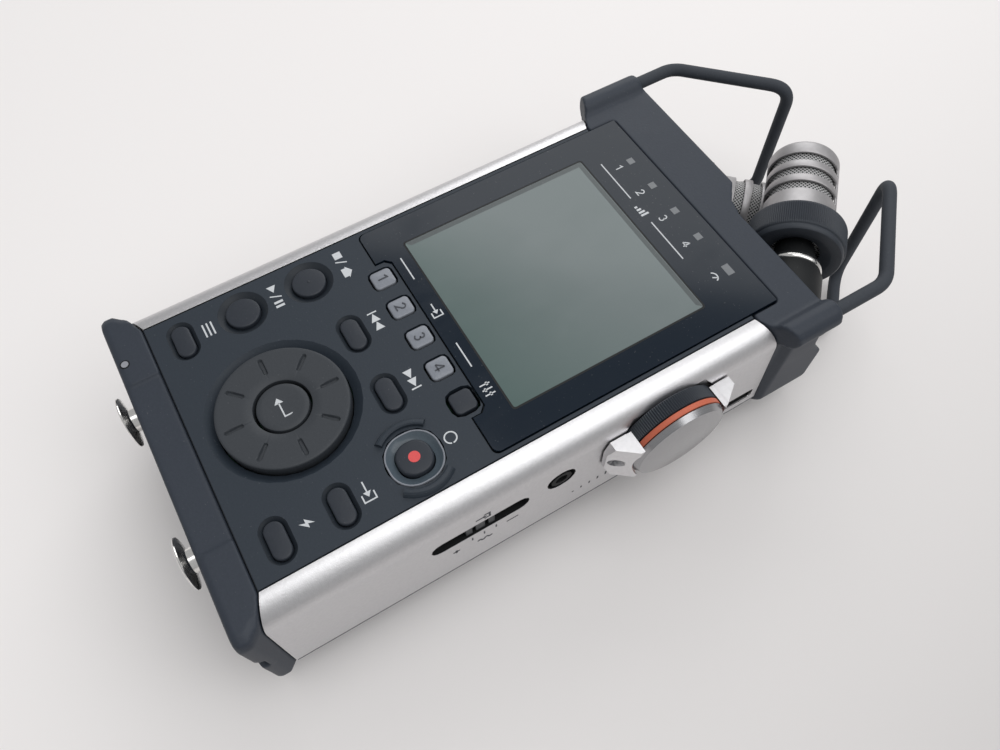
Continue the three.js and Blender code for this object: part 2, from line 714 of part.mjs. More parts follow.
function batteryDoor() {
  const leaf = box(-DOOR.half, DOOR.half, DOOR.y0, DOOR.y1, DOOR_FOOT, DOOR_FOOT + 0.8);
  const stiff = box(-DOOR.half + 1, DOOR.half - 1, DOOR.y0 + 1, DOOR.y1 - DOOR.travel - GAP,
    DOOR_FOOT + 0.7, 2);
  const grooves = [];
  for (let i = 0; i < 6; i++) {
    const y = DOOR.y0 + 6 + i * 1.9;
    grooves.push(box(-8, 8, y, y + 0.9, -1, DOOR_FOOT + 0.35));
  }
  return cut(join(leaf, stiff), ...grooves);
}

function tripodBush() {
  return turned([[TRIPOD.hole, 0], [TRIPOD.r, 0], [TRIPOD.r, 3.4], [TRIPOD.r - 1.4, 3.4],
    [TRIPOD.r - 1.4, TRIPOD.depth + 1.4], [0, TRIPOD.depth + 1.4], [0, TRIPOD.depth],
    [TRIPOD.hole, TRIPOD.depth], [TRIPOD.hole, 0]], 16);
}

function speaker() {
  return turned([[0, 0], [SPEAKER.r, 0], [SPEAKER.r, 1.6], [SPEAKER.r - 3, 3.4], [0, 3.4]], 14);
}

// Sockets
function comboJack() {
  return turned([[0, 24], [JACK.bore, 24], [JACK.bore, 0.4], [JACK.core, 0.4], [JACK.core, 12],
    [JACK.r - 1.1, 12], [JACK.r - 1.1, 0], [JACK.r, 0], [JACK.r, JACK.depth], [0, JACK.depth]],
  JACK.facets).rotateX(-Math.PI / 2);
}

function roundSocket(bore) {
  return turned([[0, 10], [bore, 10], [bore, 0], [bore + 1, 0], [bore + 1, 1.6], [4.2, 1.6],
    [4.2, 12], [0, 12]], 12);
}

function usbPort() {
  return cut(
    roundedPlate(USB.width - 0.2, USB.length - 0.2, 0.5, 0, 7),
    roundedPlate(USB.width - 0.9, USB.length - 0.9, 0.3, -1, 6),
  );
}

// Latch buttons: a flat disc on a stem that is pressed to free a plug
function latchButton() {
  const rim = LATCH.disc;
  return turned([[0, 0.3], [rim - 1.6, 0.3], [rim - 0.8, 0], [rim, 0.5], [rim - 0.3, 1.2],
    [LATCH.stem, 1.2], [LATCH.stem, 6.6], [LATCH.stem + 0.8, 6.6], [LATCH.stem + 0.8, 7.6],
    [LATCH.stem, 7.6], [LATCH.stem, 10.6], [0, 10.6]], 12)
    .rotateX(-Math.PI / 2);
}

// Input level dial: a knurled ring and a capped knob on two nested shafts
function ribbedShape(radius, depth, ribs) {
  const points = [];
  for (let i = 0; i < 2 * ribs; i++) {
    const r = i % 2 ? radius : radius - depth;
    const angle = (i * Math.PI) / ribs;
    points.push(new THREE.Vector2(r * Math.cos(angle), r * Math.sin(angle)));
  }
  return new THREE.Shape(points);
}

function levelRing() {
  const grip = plate(ribbedShape(DIAL.r, 0.45, DIAL.ribs), DIAL.inner, DIAL.ringTop);
  const hub = rod(3.4, DIAL.inner - 3.2, DIAL.inner + 0.2, 12);
  return cut(join(grip, hub), rod(2.1, DIAL.inner - 5, DIAL.ringTop + 1, 12));
}

function levelKnob() {
  const foot = DIAL.bandTop + GAP;
  return turned([[0, DIAL.inner - 2.6], [1.8, DIAL.inner - 2.6], [1.8, DIAL.ringTop + GAP],
    [DIAL.hub, DIAL.ringTop + GAP], [DIAL.hub, foot], [DIAL.r - 0.1, foot],
    [DIAL.face, DIAL.top], [0, DIAL.top]], DIAL.facets);
}

// The coloured band between the ring and the knob
function levelBand() {
  return tube(DIAL.r, DIAL.hub + GAP, DIAL.ringTop + GAP, DIAL.bandTop, DIAL.facets);
}

function levelControl() {
  return cut(
    join(rod(4.3, 21.5, 29.5, 12), rod(4.1, 29.3, 30.4, 12)),
    rod(1.9, 29.9, 33, 12),
  );
}

// Wedge beside the dial: steep towards the dial, sloped away from it, with a seat for its screw
function dialGuard(end) {
  const { half, reach, height, crest, toe, bore } = WEDGE;
  const outline = new THREE.Shape(
    [[-half, 0], [-half, reach - 1.3], [-half / 2, reach - 0.2], [half / 2, reach - 0.2],
      [half, reach - 1.3], [half, 0]].map(([v, u]) => new THREE.Vector2(v, u)),
  );
  const slope = new THREE.Shape(
    [[reach + 1, -1], [reach + 1, height + 1], [crest, height + 1], [crest, height], [reach, toe],
      [reach, -1]].map(([u, h]) => new THREE.Vector2(u, h)),
  );
  const ramp = new THREE.ExtrudeGeometry(slope, { depth: 30, bevelEnabled: false })
    .rotateX(Math.PI / 2)
    .rotateZ(Math.PI / 2)
    .translate(-15, 0, 0);
  const seat = rod(1.5, 1, 9, 12).translate(0, reach - 1.9, 0);
  return cut(plate(outline, 0, height), ramp, rod(bore, -1, 9, 40), seat)
    .rotateZ(end > 0 ? 0 : Math.PI);
}

// Slide switches: a ribbed thumb piece in the slot, and a wide foot behind the sheet
function slideKnob({ knob: length, width: slot, ribs }) {
  const width = slot - 2 * GAP;
  const thumb = roundedPlate(width, length, width / 2, -SHEET - 0.6, 0.5);
  const foot = roundedPlate(width + 2.4, length + 4, 1, -SHEET - 1.8, -SHEET - GAP);
  const pieces = [foot];
  for (let i = 0; i < ribs; i++) {
    const y = (i - (ribs - 1) / 2) * 1.5;
    pieces.push(box((1 - width) / 2, (width - 1) / 2, y - 0.4, y + 0.4, 0.3, 1.1));
  }
  return join(thumb, ...pieces);
}

function volumeRocker() {
  const width = VOLUME.width - 2 * GAP;
  const length = VOLUME.length - 2 * GAP;
  const pad = roundedPlate(width, length, width / 2, -SHEET - 1, 0.9);
  const foot = roundedPlate(width + 1.8, length + 1, 1.5, -SHEET - 1.6, -SHEET - GAP - 0.35);
  const waist = new THREE.CylinderGeometry(3, 3, width + 2, 20).rotateZ(Math.PI / 2)
    .translate(0, 0, 3.6);
  return cut(join(pad, foot), waist);
}

function cardDoor() {
  return join(
    roundedPlate(CARD.width, CARD.length, 1.4, -SHEET + 0.1, 0.1),
    roundedPlate(1, 10, 0.5, 0, 0.6).translate(CARD.width / 2 - 1.6, 0, 0),
  );
}

// Microphone parts, each along its own axis with the front rim of the knurled ring at height 0
function micStem() {
  return turned([[0, -19.5], [MIC.foot, -19.5], [MIC.foot, -13], [MIC.foot - 0.5, -11.8],
    [MIC.foot - 0.5, -9.9], [MIC.stem, -9.7], [MIC.stem - 0.8, MIC.tail - GAP],
    [0, MIC.tail - GAP]], 16);
}

function micRing() {
  const knurl = plate(ribbedShape(MIC.ring, 0.5, MIC.ribs), MIC.lip, -0.3);
  const rim = rod(MIC.ring - 0.5, -0.5, 0, MIC.ribs);
  const lip = turned([[0, -MIC.ringDepth], [MIC.ring - 1, -MIC.ringDepth],
    [MIC.ring - 0.5, MIC.lip - 0.3], [MIC.ring - 0.5, MIC.lip + 0.2], [0, MIC.lip + 0.2]], MIC.ribs);
  const bore = turned([[0, -9], [6.75, -9], [6.75, MIC.tail - 1.1], [MIC.r + GAP, MIC.tail - 1],
    [MIC.r + GAP, 1], [0, 1]], MIC.facets);
  return cut(join(knurl, rim, lip), bore);
}

// The slotted barrel over the microphone's mesh
function micHousing() {
  const inner = MIC.r - MIC.wall;
  const barrel = turned([[0, MIC.nose - 0.8], [inner, MIC.nose - 0.8], [inner, MIC.tail],
    [MIC.r, MIC.tail], [MIC.r, MIC.nose - 0.9], [MIC.r - 0.9, MIC.nose], [0, MIC.nose]], MIC.facets);
  const cuts = [];
  for (let i = 0; i < SLOT.rows; i++) {
    const top = SLOT.first - i * SLOT.pitch;
    const band = tube(MIC.r + 2, inner - 0.5, top - SLOT.width, top, MIC.facets);
    const post = box(-SLOT.post / 2, SLOT.post / 2, -MIC.r - 3, MIC.r + 3, 0, MIC.nose);
    cuts.push(cut(band, post.rotateZ(SLOT.turn)));
  }
  return cut(barrel, ...cuts);
}

function micCapsule() {
  return rod(MIC.r - MIC.wall - GAP, MIC.tail + 0.6, MIC.nose - 0.8 - GAP, MIC.facets);
}

// Colours and finishes
const finish = (color, roughness, metalness = 0) => ({ color, roughness, metalness });
const FINISH = {
  panel: finish(0x43484f, 0.6),
  key: finish(0x3b3d3f, 0.55),
  wheel: finish(0x4b4b4c, 0.6),
  silver: finish(0xd0d0d2, 0.35, 0.9),
  lens: finish(0x30373d, 0.08),
  screen: finish(0x7d8a86, 0.3),
  black: finish(0x1d1f21, 0.6),
  wire: finish(0x3c4043, 0.6, 0.3),
  orange: finish(0xbf5a37, 0.5),
  mic: finish(0xa8a29f, 0.3, 0.9),
  mesh: finish(0x77726e, 0.6, 0.6),
  brass: finish(0xb9a98c, 0.3, 0.9),
  board: finish(0x23513a, 0.7),
  cell: finish(0x8a8d90, 0.4, 0.3),
  glow: finish(0x8d9298, 0.35),
};

const device = new THREE.Group();
const body = new THREE.Group();
device.add(body);

function add(parent, name, geometry, look) {
  const mesh = new THREE.Mesh(geometry, new THREE.MeshStandardMaterial(look));
  mesh.name = name;
  parent.add(mesh);
  return mesh;
}

add(body, "front_bezel", frontBezel(), FINISH.panel);
add(body, "display_lens", displayLens(), FINISH.lens);
add(body, "lcd_module", lcdModule(), FINISH.screen);
add(body, "key_board", keyBoard(), FINISH.board);
add(body, "circuit_board", circuitBoard(), FINISH.board);
add(body, "top_cap", topCap(), FINISH.panel);
add(body, "bottom_cap", bottomCap(), FINISH.panel);
add(body, "left_side_panel", leftSidePanel(), FINISH.silver);
add(body, "right_side_panel", rightSidePanel(), FINISH.silver);
add(body, "back_cover", backCover(), FINISH.panel);
add(body, "battery_door", batteryDoor(), FINISH.panel);
for (let i = 0; i < 4; i++) {
  const cell = add(body, `battery_cell_${i + 1}`, batteryCell(), FINISH.cell);
  cell.position.set((i - 1.5) * CELL.pitch, CELL.y + (i % 2 ? CELL.length : 0), CELL.z);
  cell.rotation.z = i % 2 ? Math.PI : 0;
}
add(body, "tripod_bush", tripodBush(), FINISH.brass).position.set(TRIPOD.x, TRIPOD.y, 0);
add(body, "speaker", speaker(), FINISH.black).position.set(SPEAKER.x, SPEAKER.y, 2.4);

for (const [name, key] of Object.entries(KEYS)) add(body, name, keyCap(key), FINISH.key);
for (let i = 0; i < 4; i++) add(body, `track_key_${i + 1}`, keyCap(trackKeyPlace(i)), FINISH.glow);
add(body, "mixer_key", keyCap(MIXER), FINISH.key);
add(body, "record_light_ring", recordLightRing(), FINISH.glow);
add(body, "jog_wheel", jogWheel(), FINISH.wheel).position.set(WHEEL.x, WHEEL.y, 0);
add(body, "enter_key", enterKey(), FINISH.key).position.set(WHEEL.x, WHEEL.y, 0);

// Everything that faces out of a side stands in a group whose z axis points out of that side
function sideGroup(side, y, z) {
  const group = new THREE.Group();
  group.position.set(side * BODY_HALF, y, z);
  group.rotation.y = (side * Math.PI) / 2;
  body.add(group);
  return group;
}

const dial = sideGroup(1, DIAL.y, DIAL.z);
dial.position.x = 0;
add(dial, "level_control", levelControl(), FINISH.black);
add(dial, "level_ring", levelRing(), FINISH.black);
add(dial, "level_band", levelBand(), FINISH.orange);
add(dial, "level_knob", levelKnob(), FINISH.silver);
const guards = sideGroup(1, DIAL.y, DIAL.z);
guards.position.x += GAP;
add(guards, "lower_dial_guard", dialGuard(-1), FINISH.silver);
add(guards, "upper_dial_guard", dialGuard(1), FINISH.silver);
add(sideGroup(1, SWITCH.y, SWITCH.z), "input_switch", slideKnob(SWITCH), FINISH.black);
add(sideGroup(-1, POWER.y, POWER.z), "power_switch", slideKnob(POWER), FINISH.black);
const remote = sideGroup(1, REMOTE.y, REMOTE.z);
add(remote, "remote_jack", roundSocket(1.3).rotateX(Math.PI), FINISH.black);
const phones = sideGroup(-1, PHONES.y, PHONES.z);
add(phones, "phones_jack", roundSocket(1.8).rotateX(Math.PI), FINISH.black);
const usb = sideGroup(1, USB.y, USB.z);
add(usb, "usb_port", usbPort().rotateX(Math.PI), FINISH.brass).position.z = -0.2;
add(sideGroup(-1, VOLUME.y, VOLUME.z), "volume_key", volumeRocker(), FINISH.black);
add(sideGroup(-1, CARD.y, CARD.z), "card_door", cardDoor(), FINISH.panel);

for (const [name, side] of [["left", -1], ["right", 1]]) {
  const jack = add(body, `${name}_combo_jack`, comboJack(), FINISH.black);
  jack.position.set(side * JACK.x, JACK.mouth, JACK.z);
  const latch = add(body, `${name}_latch_button`, latchButton(), FINISH.brass);
  latch.position.set(side * JACK.x, LATCH.face, LATCH.z);
  add(body, `${name}_wire_guard`, wireGuard(side), FINISH.wire);
  const mic = new THREE.Group();
  mic.position.set(side * MIC_X, MIC_Y, MIC_Z[name]);
  mic.rotation.set(-Math.PI / 2, 0, (side * Math.PI) / 4, "ZXY");
  body.add(mic);
  add(mic, `${name}_mic_stem`, micStem(), FINISH.black);
  add(mic, `${name}_mic_ring`, micRing(), FINISH.black);
  add(mic, `${name}_mic_housing`, micHousing(), FINISH.mic);
  add(mic, `${name}_mic_capsule`, micCapsule(), FINISH.mesh);
}

body.position.set(-ORIGIN.x, -ORIGIN.y, 0);
export default device;
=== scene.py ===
"""Handheld audio recorder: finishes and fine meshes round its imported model, with lights and a camera."""

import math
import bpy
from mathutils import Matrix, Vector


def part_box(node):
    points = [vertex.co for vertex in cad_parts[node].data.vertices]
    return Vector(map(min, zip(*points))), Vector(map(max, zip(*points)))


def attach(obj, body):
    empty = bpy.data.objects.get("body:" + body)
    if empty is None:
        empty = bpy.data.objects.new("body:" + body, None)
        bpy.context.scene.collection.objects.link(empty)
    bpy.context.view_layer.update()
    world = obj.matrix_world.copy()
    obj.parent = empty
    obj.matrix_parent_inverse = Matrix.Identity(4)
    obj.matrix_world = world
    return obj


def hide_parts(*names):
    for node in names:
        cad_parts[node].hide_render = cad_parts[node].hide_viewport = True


bl_info = {
    "name": "Handheld audio recorder",
    "version": (1, 0, 0),
    "blender": (4, 5, 0),
    "location": "View3D > Sidebar > Recorder",
    "description": "Builds the finished recorder piece by piece round its packed frame",
    "category": "Object",
}

import bmesh
import bpy
from mathutils import Matrix, Vector

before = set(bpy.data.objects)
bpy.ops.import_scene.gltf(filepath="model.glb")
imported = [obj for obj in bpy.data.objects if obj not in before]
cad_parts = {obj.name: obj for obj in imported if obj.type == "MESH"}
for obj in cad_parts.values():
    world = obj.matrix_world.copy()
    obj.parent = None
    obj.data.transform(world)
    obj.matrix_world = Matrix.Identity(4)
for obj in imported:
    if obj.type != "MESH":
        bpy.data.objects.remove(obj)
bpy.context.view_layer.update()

MM = 0.001
TURN = 2 * math.pi
BODY = "recorder"

# Places are read from the frame, so that each piece sits where its solid is
PANEL_LOW, PANEL_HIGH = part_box("front_bezel")
MIDDLE_X = (PANEL_LOW.x + PANEL_HIGH.x) / 2
PANEL_Y = PANEL_LOW.y
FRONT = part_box("left_side_panel")[1].z / MM
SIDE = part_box("right_side_panel")[1].x / MM - MIDDLE_X / MM

LONG_KEYS = ("menu_key", "previous_key", "next_key", "input_key", "quick_key")
ROUND_KEYS = ("play_key", "stop_key")
TRACK_KEYS = tuple("track_key_%d" % i for i in range(1, 5))
SIDES = (("left", -1), ("right", 1))

# How much wider a key's hidden foot is than its face
FOOT_LIP = 2.0
TRACK_LIP = 1.4
# How far a round key's face lies off the middle of its foot
ROUND_KEY_ASIDE = -0.25
# Outer radius of the bend in the aluminium, and its thickness
CORNER = 5.4
SHEET = 1.3
# How deep the printed marks reach into the surface under them
PRINT_FOOT = -0.06


def place(x, y, z):
    """A point given in millimetres from the lower end of the panel's centre line, in the frame."""
    return Vector((MIDDLE_X + x * MM, PANEL_Y + y * MM, z * MM))


TO_FRAME = Matrix.Translation(place(0, 0, 0)) @ Matrix.Diagonal((MM, MM, MM, 1))
# Turns a flat outline's x along the body, its y upwards and its height out of the right side
SIDEWAYS = Matrix(((0, 0, 1), (1, 0, 0), (0, 1, 0))).to_4x4()


def middle(node):
    low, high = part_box(node)
    centre = (low + high) / 2
    return Vector(((centre.x - MIDDLE_X) / MM, (centre.y - PANEL_Y) / MM, centre.z / MM))


def span(node):
    low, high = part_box(node)
    return (high - low) / MM


def top_of(node):
    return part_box(node)[1].z / MM


def x_range(node):
    return [(corner.x - MIDDLE_X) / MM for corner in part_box(node)]


def y_range(node):
    return [(corner.y - PANEL_Y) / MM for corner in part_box(node)]


def over(node, height=0.0):
    """A frame at a height over the middle of a node's face."""
    at = middle(node)
    aside = ROUND_KEY_ASIDE if node in ROUND_KEYS else 0.0
    return Matrix.Translation((at.x + aside, at.y, height))


def side_frame(x, y, z, side=1):
    """A frame whose z axis points out of one side of the body."""
    return Matrix.Translation((x, y, z)) @ Matrix.Rotation(side * math.pi / 2, 4, "Y")


def face_size(node):
    """Width and length of a key's face, without its hidden foot."""
    size = span(node)
    lip = TRACK_LIP if node in TRACK_KEYS else FOOT_LIP
    return size.x - lip, size.y - lip


# Mesh building in millimetres


def ring_loop(radius, count, z=0.0):
    angles = (TURN * i / count for i in range(count))
    return [Vector((radius * math.cos(a), radius * math.sin(a), z)) for a in angles]


def rounded_loop(width, length, radius, z=0.0, steps=7):
    """A rectangle with rounded corners as a closed loop of points."""
    radius = min(radius, width / 2 - 0.001, length / 2 - 0.001)
    points = []
    for quarter, (sx, sy) in enumerate(((1, 1), (-1, 1), (-1, -1), (1, -1))):
        for k in range(steps + 1):
            angle = (quarter + k / steps) * math.pi / 2
            x = sx * (width / 2 - radius) + radius * math.cos(angle)
            y = sy * (length / 2 - radius) + radius * math.sin(angle)
            points.append(Vector((x, y, z)))
    return points


def round_ended(width, length, rows, steps=14):
    """Loops with round ends about one middle, from (reach, height) rows."""
    half = min(width, length) / 2
    return [rounded_loop(width + 2 * r, length + 2 * r, half + r, z, steps) for r, z in rows]


def stack(loops, cap=True):
    """A skin over closed loops of equal count, with its ends filled or open."""
    bm = bmesh.new()
    rows = [[bm.verts.new(p) for p in loop] for loop in loops]
    count = len(rows[0])
    for low, high in zip(rows, rows[1:]):
        for i in range(count):
            j = (i + 1) % count
            bm.faces.new((low[i], low[j], high[j], high[i]))
    if cap:
        bm.faces.new(list(reversed(rows[0])))
        bm.faces.new(rows[-1])
    bmesh.ops.recalc_face_normals(bm, faces=bm.faces)
    return bm


def hoop(loops):
    """A closed ring, from loops that go once round its section."""
    ring = stack(loops + loops[:1], cap=False)
    bmesh.ops.remove_doubles(ring, verts=ring.verts, dist=1e-5)
    return ring


def lathe(profile, count=96):
    """A turned form about z from (radius, height) pairs. A radius of 0 closes it."""
    bm = bmesh.new()
    rows = []
    for radius, height in profile:
        points = ring_loop(radius, count, height) if radius else [(0, 0, height)]
        rows.append([bm.verts.new(p) for p in points])
    for low, high in zip(rows, rows[1:]):
        for i in range(count):
            j = (i + 1) % count
            a = [low[0]] if len(low) == 1 else [low[i], low[j]]
            b = [high[0]] if len(high) == 1 else [high[j], high[i]]
            if len(a) + len(b) > 2:
                bm.faces.new(a + b)
    if len(rows[0]) > 1 and len(rows[-1]) > 1 and profile[0] != profile[-1]:
        for i in range(count):
            j = (i + 1) % count
            bm.faces.new((rows[-1][i], rows[-1][j], rows[0][j], rows[0][i]))
    bmesh.ops.remove_doubles(bm, verts=bm.verts, dist=1e-5)
    bmesh.ops.recalc_face_normals(bm, faces=bm.faces)
    return bm


def ridged_lathe(rows, ridges, samples=6):
    """A turned ring with ridges, from (radius, height, ridge depth) rows round its section."""
    count = ridges * samples
    loops = []
    for radius, height, depth in rows:
        loop = []
        for i in range(count):
            angle = TURN * i / count
            r = radius - depth * (0.5 - 0.5 * math.cos(TURN * i / samples))
            loop.append(Vector((r * math.cos(angle), r * math.sin(angle), height)))
        loops.append(loop)
    return hoop(loops)


def prism(points, low, high):
    """A flat outline of (x, y) pairs raised from low to high."""
    return stack([[(x, y, z) for x, y in points] for z in (low, high)])


def oblong(x0, y0, x1, y1):
    return ((x0, y0), (x1, y0), (x1, y1), (x0, y1))


def arc(centre, radius, start, end, steps):
    """(x, y) pairs along an arc, with angles in degrees."""
    turns = (math.radians(start + (end - start) * k / steps) for k in range(steps + 1))
    return [(centre[0] + radius * math.cos(a), centre[1] + radius * math.sin(a)) for a in turns]


def ribbon(points, width, low, high):
    """A flat mark of one width along (x, y) points, mitred at its corners."""
    points = [Vector(p) for p in points]
    loops = []
    for i, point in enumerate(points):
        behind = point - points[i - 1] if i else points[1] - point
        ahead = points[i + 1] - point if i < len(points) - 1 else behind
        behind, ahead = behind.normalized(), ahead.normalized()
        across = Vector((-behind.y - ahead.y, behind.x + ahead.x)).normalized()
        reach = width / 2 / max(across.dot(Vector((-ahead.y, ahead.x))), 0.4)
        left, right = point + across * reach, point - across * reach
        loops.append([(*left, low), (*right, low), (*right, high), (*left, high)])
    strip = stack(loops)
    bmesh.ops.remove_doubles(strip, verts=strip.verts, dist=1e-6)
    return strip


def tube(points, radius, sides):
    """A round tube through points, with its section carried along without twist."""
    loops = []
    normal = None
    last = len(points) - 1
    for i, point in enumerate(points):
        along = (points[min(i + 1, last)] - points[max(i - 1, 0)]).normalized()
        if normal is None:
            normal = along.orthogonal().normalized()
        normal = (normal - along * normal.dot(along)).normalized()
        side = along.cross(normal)
        angles = (TURN * k / sides for k in range(sides))
        loops.append([point + radius * (normal * math.cos(a) + side * math.sin(a)) for a in angles])
    return stack(loops)


def crowned(width, length, radius, low, high, crown, edge):
    """A key with rounded upper edges and a gently domed face."""
    loops = [rounded_loop(width, length, radius, low)]
    for k in range(6):
        turn = k / 5 * math.pi / 2
        inset = edge * (1 - math.cos(turn))
        height = high - crown - edge * (1 - math.sin(turn))
        loops.append(rounded_loop(width - 2 * inset, length - 2 * inset, max(radius - inset, 0.2), height))
    for share in (0.75, 0.5, 0.25):
        size = [(side - 2 * edge) * share for side in (width, length)]
        loops.append(rounded_loop(*size, max((radius - edge) * share, 0.1), high - crown * share * share))
    return stack(loops)


def merge(target, *others):
    """Adds copies of the other meshes to the first, as separate closed shells."""
    for other in others:
        spare = bpy.data.meshes.new("spare")
        other.to_mesh(spare)
        target.from_mesh(spare)
        bpy.data.meshes.remove(spare)
        other.free()
    return target


def moved(bm, matrix):
    bmesh.ops.transform(bm, matrix=matrix, verts=bm.verts)
    return bm


def shifted(bm, x, y, z=0.0):
    return moved(bm, Matrix.Translation((x, y, z)))


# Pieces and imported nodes


def new_object(name, data):
    made = bpy.data.objects.new(name, data)
    bpy.context.scene.collection.objects.link(made)
    return made


def soften(piece, width, angle=30):
    """Rounds the hard edges of a piece by a width in millimetres."""
    bevel = piece.modifiers.new("rounded edges", "BEVEL")
    bevel.width = width * MM
    bevel.segments = 2
    bevel.limit_method = "ANGLE"
    bevel.angle_limit = math.radians(angle)


def shade(piece, sharp):
    piece.data.shade_smooth()
    piece.data.set_sharp_from_angle(angle=math.radians(sharp))


def finished(name, bm, material, body=BODY, replaces=(), at=None, sharp=35):
    """Turns a mesh in millimetres into a piece of the recorder that rides on a body."""
    matrix = TO_FRAME @ (at or Matrix.Identity(4))
    moved(bm, matrix)
    if matrix.determinant() < 0:
        bmesh.ops.reverse_faces(bm, faces=bm.faces)
    mesh = bpy.data.meshes.new(name)
    bm.to_mesh(mesh)
    bm.free()
    mesh.materials.append(material)
    piece = new_object(name, mesh)
    shade(piece, sharp)
    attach(piece, body)
    if replaces:
        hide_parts(*replaces)
    return piece


def recoloured(node, material):
    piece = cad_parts[node]
    piece.data.materials.clear()
    piece.data.materials.append(material)
    return piece


def dress(node, material, bevel):
    """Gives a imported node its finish, soft edges and smooth shading. Its own vertices stay as they are."""
    piece = recoloured(node, material)
    flat = piece.modifiers.new("whole faces", "DECIMATE")
    flat.decimate_type = "DISSOLVE"
    flat.angle_limit = math.radians(1.5)
    if bevel:
        soften(piece, bevel)
    shade(piece, 30)
    piece.modifiers.new("even shading", "WEIGHTED_NORMAL").keep_sharp = True


def melt(node, material, cell, rounds):
    """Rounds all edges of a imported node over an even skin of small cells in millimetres."""
    piece = recoloured(node, material)
    skin = piece.modifiers.new("even skin", "REMESH")
    skin.mode = "VOXEL"
    skin.voxel_size = cell * MM
    skin.use_smooth_shade = True
    smooth = piece.modifiers.new("rounded edges", "SMOOTH")
    smooth.factor = 0.5
    smooth.iterations = rounds


def carved(node, material, bevel, tool=None, reshape=None):
    """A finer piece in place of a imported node, with a form cut out or its points moved by a function."""
    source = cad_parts[node]
    if tool:
        mesh = bpy.data.meshes.new("tool")
        moved(tool, TO_FRAME).to_mesh(mesh)
        tool.free()
        cut = source.modifiers.new("cut", "BOOLEAN")
        cut.operation = "DIFFERENCE"
        cut.solver = "EXACT"
        cut.object = new_object("tool", mesh)
    bpy.context.view_layer.update()
    seen = source.evaluated_get(bpy.context.evaluated_depsgraph_get())
    shell = bpy.data.meshes.new_from_object(seen)
    shell.transform(source.matrix_world)
    if tool:
        source.modifiers.remove(cut)
        bpy.data.meshes.remove(mesh)
    bm = bmesh.new()
    bm.from_mesh(shell)
    bpy.data.meshes.remove(shell)
    bmesh.ops.remove_doubles(bm, verts=bm.verts, dist=1e-7)
    bmesh.ops.dissolve_limit(bm, angle_limit=math.radians(1.0), verts=bm.verts, edges=bm.edges)
    if reshape:
        reshape(bm)
    mesh = bpy.data.meshes.new(node + "_shell")
    bm.to_mesh(mesh)
    bm.free()
    mesh.materials.append(material)
    piece = new_object(node + "_shell", mesh)
    soften(piece, bevel)
    shade(piece, 28)
    piece.modifiers.new("even shading", "WEIGHTED_NORMAL").keep_sharp = True
    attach(piece, BODY)
    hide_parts(node)


def rounded_corner(bm, x, z, outer, inner, side):
    """Makes a faceted bend about a line along y truly round, with a skin at two radii from it."""
    axis = place(side * x, 0, z)
    steps = 20
    for k in range(1, steps):
        angle = math.pi / 2 * k / steps
        normal = Vector((-side * math.sin(angle), 0, math.cos(angle)))
        everything = bm.verts[:] + bm.edges[:] + bm.faces[:]
        bmesh.ops.bisect_plane(bm, geom=everything, dist=1e-7, plane_co=axis, plane_no=normal)
    for vert in bm.verts:
        away = Vector((vert.co.x - axis.x, 0, vert.co.z - axis.z))
        if away.x * side < -1e-6 or away.z < -1e-6 or away.length < 1e-6:
            continue
        reach = away.length / MM
        radius = min((outer, inner), key=lambda r: abs(r - reach))
        if abs(radius - reach) < 0.12:
            vert.co.x = axis.x + away.x / away.length * radius * MM
            vert.co.z = axis.z + away.z / away.length * radius * MM


# Node trees


class Tree:
    """Adds shader nodes and joins them. A value that is a socket is linked, and any other is set."""

    def __init__(self, tree):
        self.tree = tree

    def set(self, node, values):
        for key, value in values.items():
            target = node.inputs[key]
            if isinstance(value, bpy.types.NodeSocket):
                self.tree.links.new(value, target)
            else:
                target.default_value = value
        return node

    def add(self, kind, values=None, **options):
        node = self.tree.nodes.new("ShaderNode" + kind)
        for key, value in options.items():
            setattr(node, key, value)
        return self.set(node, values or {})

    def use(self, name, values):
        """Places a shared group and gives its outputs."""
        return self.set(self.add("Group", node_tree=shared(name)), values).outputs

    def math(self, operation, a, b=0.0):
        return self.add("Math", {0: a, 1: b}, operation=operation).outputs[0]

    def times(self, a, b):
        return self.math("MULTIPLY", a, b)

    def plus(self, a, b):
        return self.math("ADD", a, b)

    def remap(self, value, low, high, to_low=0.0, to_high=1.0):
        ends = {"From Min": low, "From Max": high, "To Min": to_low, "To Max": to_high}
        return self.add("MapRange", {"Value": value, **ends}).outputs[0]

    def mix(self, factor, a, b):
        return self.add("Mix", {0: factor, 6: a, 7: b}, data_type="RGBA").outputs[2]

    def tint(self, colour, factor):
        """The colour multiplied by a value."""
        grey = self.add("CombineColor", {0: factor, 1: factor, 2: factor}).outputs[0]
        values = {0: 1.0, 6: colour, 7: grey}
        return self.add("Mix", values, data_type="RGBA", blend_type="MULTIPLY").outputs[2]

    def noise(self, coords, scale, detail=2.0, roughness=0.5):
        values = {"Vector": coords, "Scale": scale, "Detail": detail, "Roughness": roughness}
        return self.add("TexNoise", values).outputs[0]

    def vector(self, operation, a, b=None):
        return self.add("VectorMath", {0: a, 1: b} if b else {0: a}, operation=operation).outputs

    def bump(self, height, strength, distance):
        values = {"Height": height, "Strength": strength, "Distance": distance}
        return self.add("Bump", values).outputs[0]


def moulded_grain(tree, given):
    """The fine even texture of a moulded surface."""
    fine = tree.noise(given["Vector"], given["Scale"], 3.0, 0.6)
    cells = tree.add("TexVoronoi", {"Vector": given["Vector"], "Scale": given["Scale"]}).outputs[0]
    height = tree.plus(tree.times(fine, 0.6), tree.times(cells, 0.4))
    return {"Height": height, "Shade": tree.remap(fine, 0.3, 0.7, 0.94, 1.06)}


